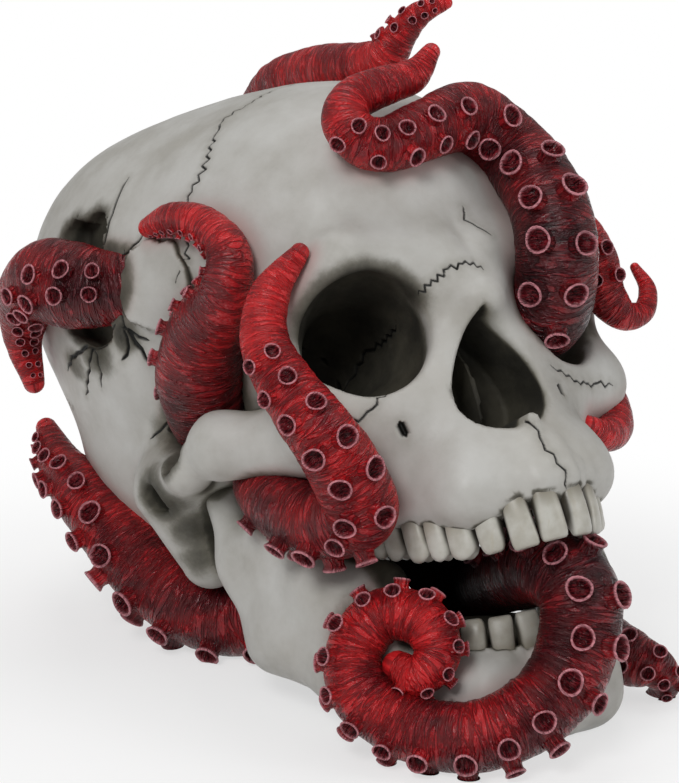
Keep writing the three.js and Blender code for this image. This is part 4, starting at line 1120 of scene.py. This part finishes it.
def flesh_paint():
    paint = Paint("octopus_flesh")
    place = paint.place()
    skin_place = paint.mark("skin", "Vector")
    tone, under = paint.mark("tone"), paint.mark("under")
    waves = paint.noise(paint.stretch(skin_place, (0.8, 0.12, 0.12)), 1.0, 3.0, 0.55, 0.7)
    folded = paint.math("ABSOLUTE", paint.math("SUBTRACT", waves, 0.5))
    wrinkle = paint.spread(folded, 0.0, 0.13)
    fine = paint.noise(paint.stretch(skin_place, (2.4, 0.5, 0.5)), 1.0, 3.0, 0.6, 0.6)
    patch = paint.noise(place, 95.0, 5.0, 0.62)
    worn = paint.spread(patch, 0.3, 0.7, -0.25, 0.22)
    deeper = paint.times(paint.spread(under, 0.3, 0.95), -0.1)
    tone = paint.math("ADD", paint.math("ADD", tone, worn), deeper)
    paint.base = paint.ramp(tone, [(0.1, colour(0.040, 0.003, 0.006)), (0.35, colour(0.10, 0.005, 0.009)),
                                   (0.62, colour(0.30, 0.008, 0.013)), (0.95, colour(0.66, 0.017, 0.020))])
    # Lighter red on the wrinkle crests is drybrush paint and painted highlight; near black in the creases is wash and
    # painted shade
    crest = paint.times(paint.spread(wrinkle, 0.55, 0.95), paint.spread(patch, 0.35, 0.65, 0.04, 0.3))
    paint.layer(crest, 0.50, 0.035, 0.04)
    valley = paint.times(paint.spread(wrinkle, 0.42, 0.0, 0.0, 0.92), paint.spread(tone, 0.7, 1.1, 1.0, 0.45))
    valley_tone = paint.mix(tone, colour(0.010, 0.0015, 0.0025), colour(0.22, 0.006, 0.008))
    paint.base = paint.mix(valley, paint.base, valley_tone)
    dusty = paint.times(paint.spread(under, 0.7, 0.97), paint.spread(fine, 0.5, 0.68, 0.0, 0.45))
    dusty = paint.times(dusty, paint.spread(tone, 0.75, 0.35))
    dusty = paint.times(dusty, paint.spread(tone, 0.0, 0.2))
    paint.layer(dusty, 0.20, 0.07, 0.085)
    cup_tone = paint.mix(paint.spread(fine, 0.35, 0.65), colour(0.030, 0.003, 0.005), colour(0.22, 0.014, 0.022))
    paint.base = paint.mix(paint.mark("cup"), paint.base, cup_tone)
    rim = paint.times(paint.mark("rim"), paint.spread(patch, 0.25, 0.6, 0.65, 0.95))
    paint.layer(rim, 0.70, 0.28, 0.32)
    rough = paint.spread(wrinkle, 0.1, 0.8, 0.42, 0.2)
    height = paint.math("ADD", wrinkle, paint.times(fine, 0.7))
    paint.finish(rough, paint.bump(height, 1.0, 0.0006), 0.34)
    # Painted shade: a dull black over the arm's throat inside the mouth
    return paint.cover(paint.mark("painted_mouth_shade"), paint.node("BsdfDiffuse", {"Color": colour(0.006, 0.003, 0.003)}))


BONE = bone_paint()
UPPER_ENAMEL = enamel_paint("upper_enamel", colour(0.56, 0.55, 0.50), colour(0.43, 0.41, 0.35))
# The lower teeth are the same enamel painted darker, as painted shade
SHADED_LOWER_ENAMEL = enamel_paint("lower_enamel_shaded", colour(0.42, 0.405, 0.355), colour(0.31, 0.29, 0.24))
FLESH = flesh_paint()
COATS = {"cranium": (BONE, "bone"), "mandible": (BONE, "bone"),
         "upper_teeth": (UPPER_ENAMEL, "enamel"), "lower_teeth": (SHADED_LOWER_ENAMEL, "enamel")}
for node, piece in pieces.items():
    material, slot = COATS.get(node, (FLESH, "flesh"))
    piece.data.materials.append(material)
    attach(piece, "root")
    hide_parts(node)

# ---- floor, light and camera
FLOOR_HALF = 3.0
FLOOR_DROP = 0.0003
# The floor's own glow starts and is full at these distances in metres, with these shares
FLOOR_FADE = (0.06, 0.21, 0.6, 1.0)
ROOM_STRENGTH = 0.32


def floor_paint():
    paint = Paint("white_floor")
    speck = paint.noise(paint.place(), 40.0, 2.0)
    paint.base = paint.mix(speck, colour(0.90, 0.90, 0.90), colour(0.92, 0.92, 0.92))
    paint.finish(0.9, None, 0.1)
    ray = paint.node("LightPath").outputs
    seen = paint.math("MAXIMUM", ray["Is Camera Ray"], ray["Is Glossy Ray"])
    seen = paint.math("MAXIMUM", seen, ray["Is Transmission Ray"])
    away = paint.node("VectorMath", {0: paint.place()}, operation="LENGTH").outputs["Value"]
    return paint.cover(paint.times(seen, paint.spread(away, *FLOOR_FADE)), paint.node("Emission"))


floor_mesh = bpy.data.meshes.new("floor")
corners = [(x * FLOOR_HALF, y * FLOOR_HALF, -FLOOR_DROP) for x, y in ((-1, -1), (1, -1), (1, 1), (-1, 1))]
floor_mesh.from_pydata(corners, [], [(0, 1, 2, 3)])
floor = place_piece("floor", floor_mesh)
floor_mesh.materials.append(floor_paint())

world = bpy.data.worlds.new("studio")
bpy.context.scene.world = world
world.use_nodes = True
nodes, links = world.node_tree.nodes, world.node_tree.links
nodes.clear()
rays = nodes.new("ShaderNodeLightPath")
choose = nodes.new("ShaderNodeMixShader")
links.new(rays.outputs["Is Camera Ray"], choose.inputs[0])
for k, strength in ((1, ROOM_STRENGTH), (2, 1.0)):
    white = nodes.new("ShaderNodeBackground")
    white.inputs["Color"].default_value = colour(1.0, 1.0, 1.0)
    white.inputs["Strength"].default_value = strength
    links.new(white.outputs[0], choose.inputs[k])
links.new(choose.outputs[0], nodes.new("ShaderNodeOutputWorld").inputs["Surface"])


# Softboxes: name, place in metres, side in metres and watts. All point at the middle of the statue.
SOFTBOXES = [("key", (-0.75, -0.55, 0.85), 0.4, 5.6), ("fill", (0.75, -0.85, 0.5), 0.45, 2.2),
             ("top", (0.1, 0.25, 1.1), 0.5, 3.0)]
MIDDLE = np.array([0.0, 0.0, 0.08])
for name, place, side, watts in SOFTBOXES:
    lamp = bpy.data.lights.new(name, "AREA")
    lamp.shape = "RECTANGLE"
    lamp.size = lamp.size_y = side
    lamp.energy = watts
    body = bpy.data.objects.new(name, lamp)
    body.location = place
    aim = MIDDLE - np.array(place)
    flat = math.hypot(aim[0], aim[1])
    body.rotation_euler = (math.atan2(flat, -aim[2]), 0.0, math.atan2(aim[1], aim[0]) - math.pi / 2)
    bpy.context.collection.objects.link(body)

CAMERA_PLACE = np.array([-304.27, -488.81, 214.3]) * MM
CAMERA_LENS, CAMERA_SENSOR, CAMERA_HEIGHT_ANGLE, CAMERA_TURN = 110.57, 36.0, 14.44, -31.94
camera = bpy.data.objects.new("camera", bpy.data.cameras.new("camera"))
camera.data.lens = CAMERA_LENS
camera.data.sensor_width = CAMERA_SENSOR
camera.location = CAMERA_PLACE
camera.rotation_euler = (math.radians(90.0 - CAMERA_HEIGHT_ANGLE), 0.0, math.radians(CAMERA_TURN))
bpy.context.collection.objects.link(camera)
bpy.context.scene.camera = camera
bpy.context.scene.view_settings.view_transform = "Standard"
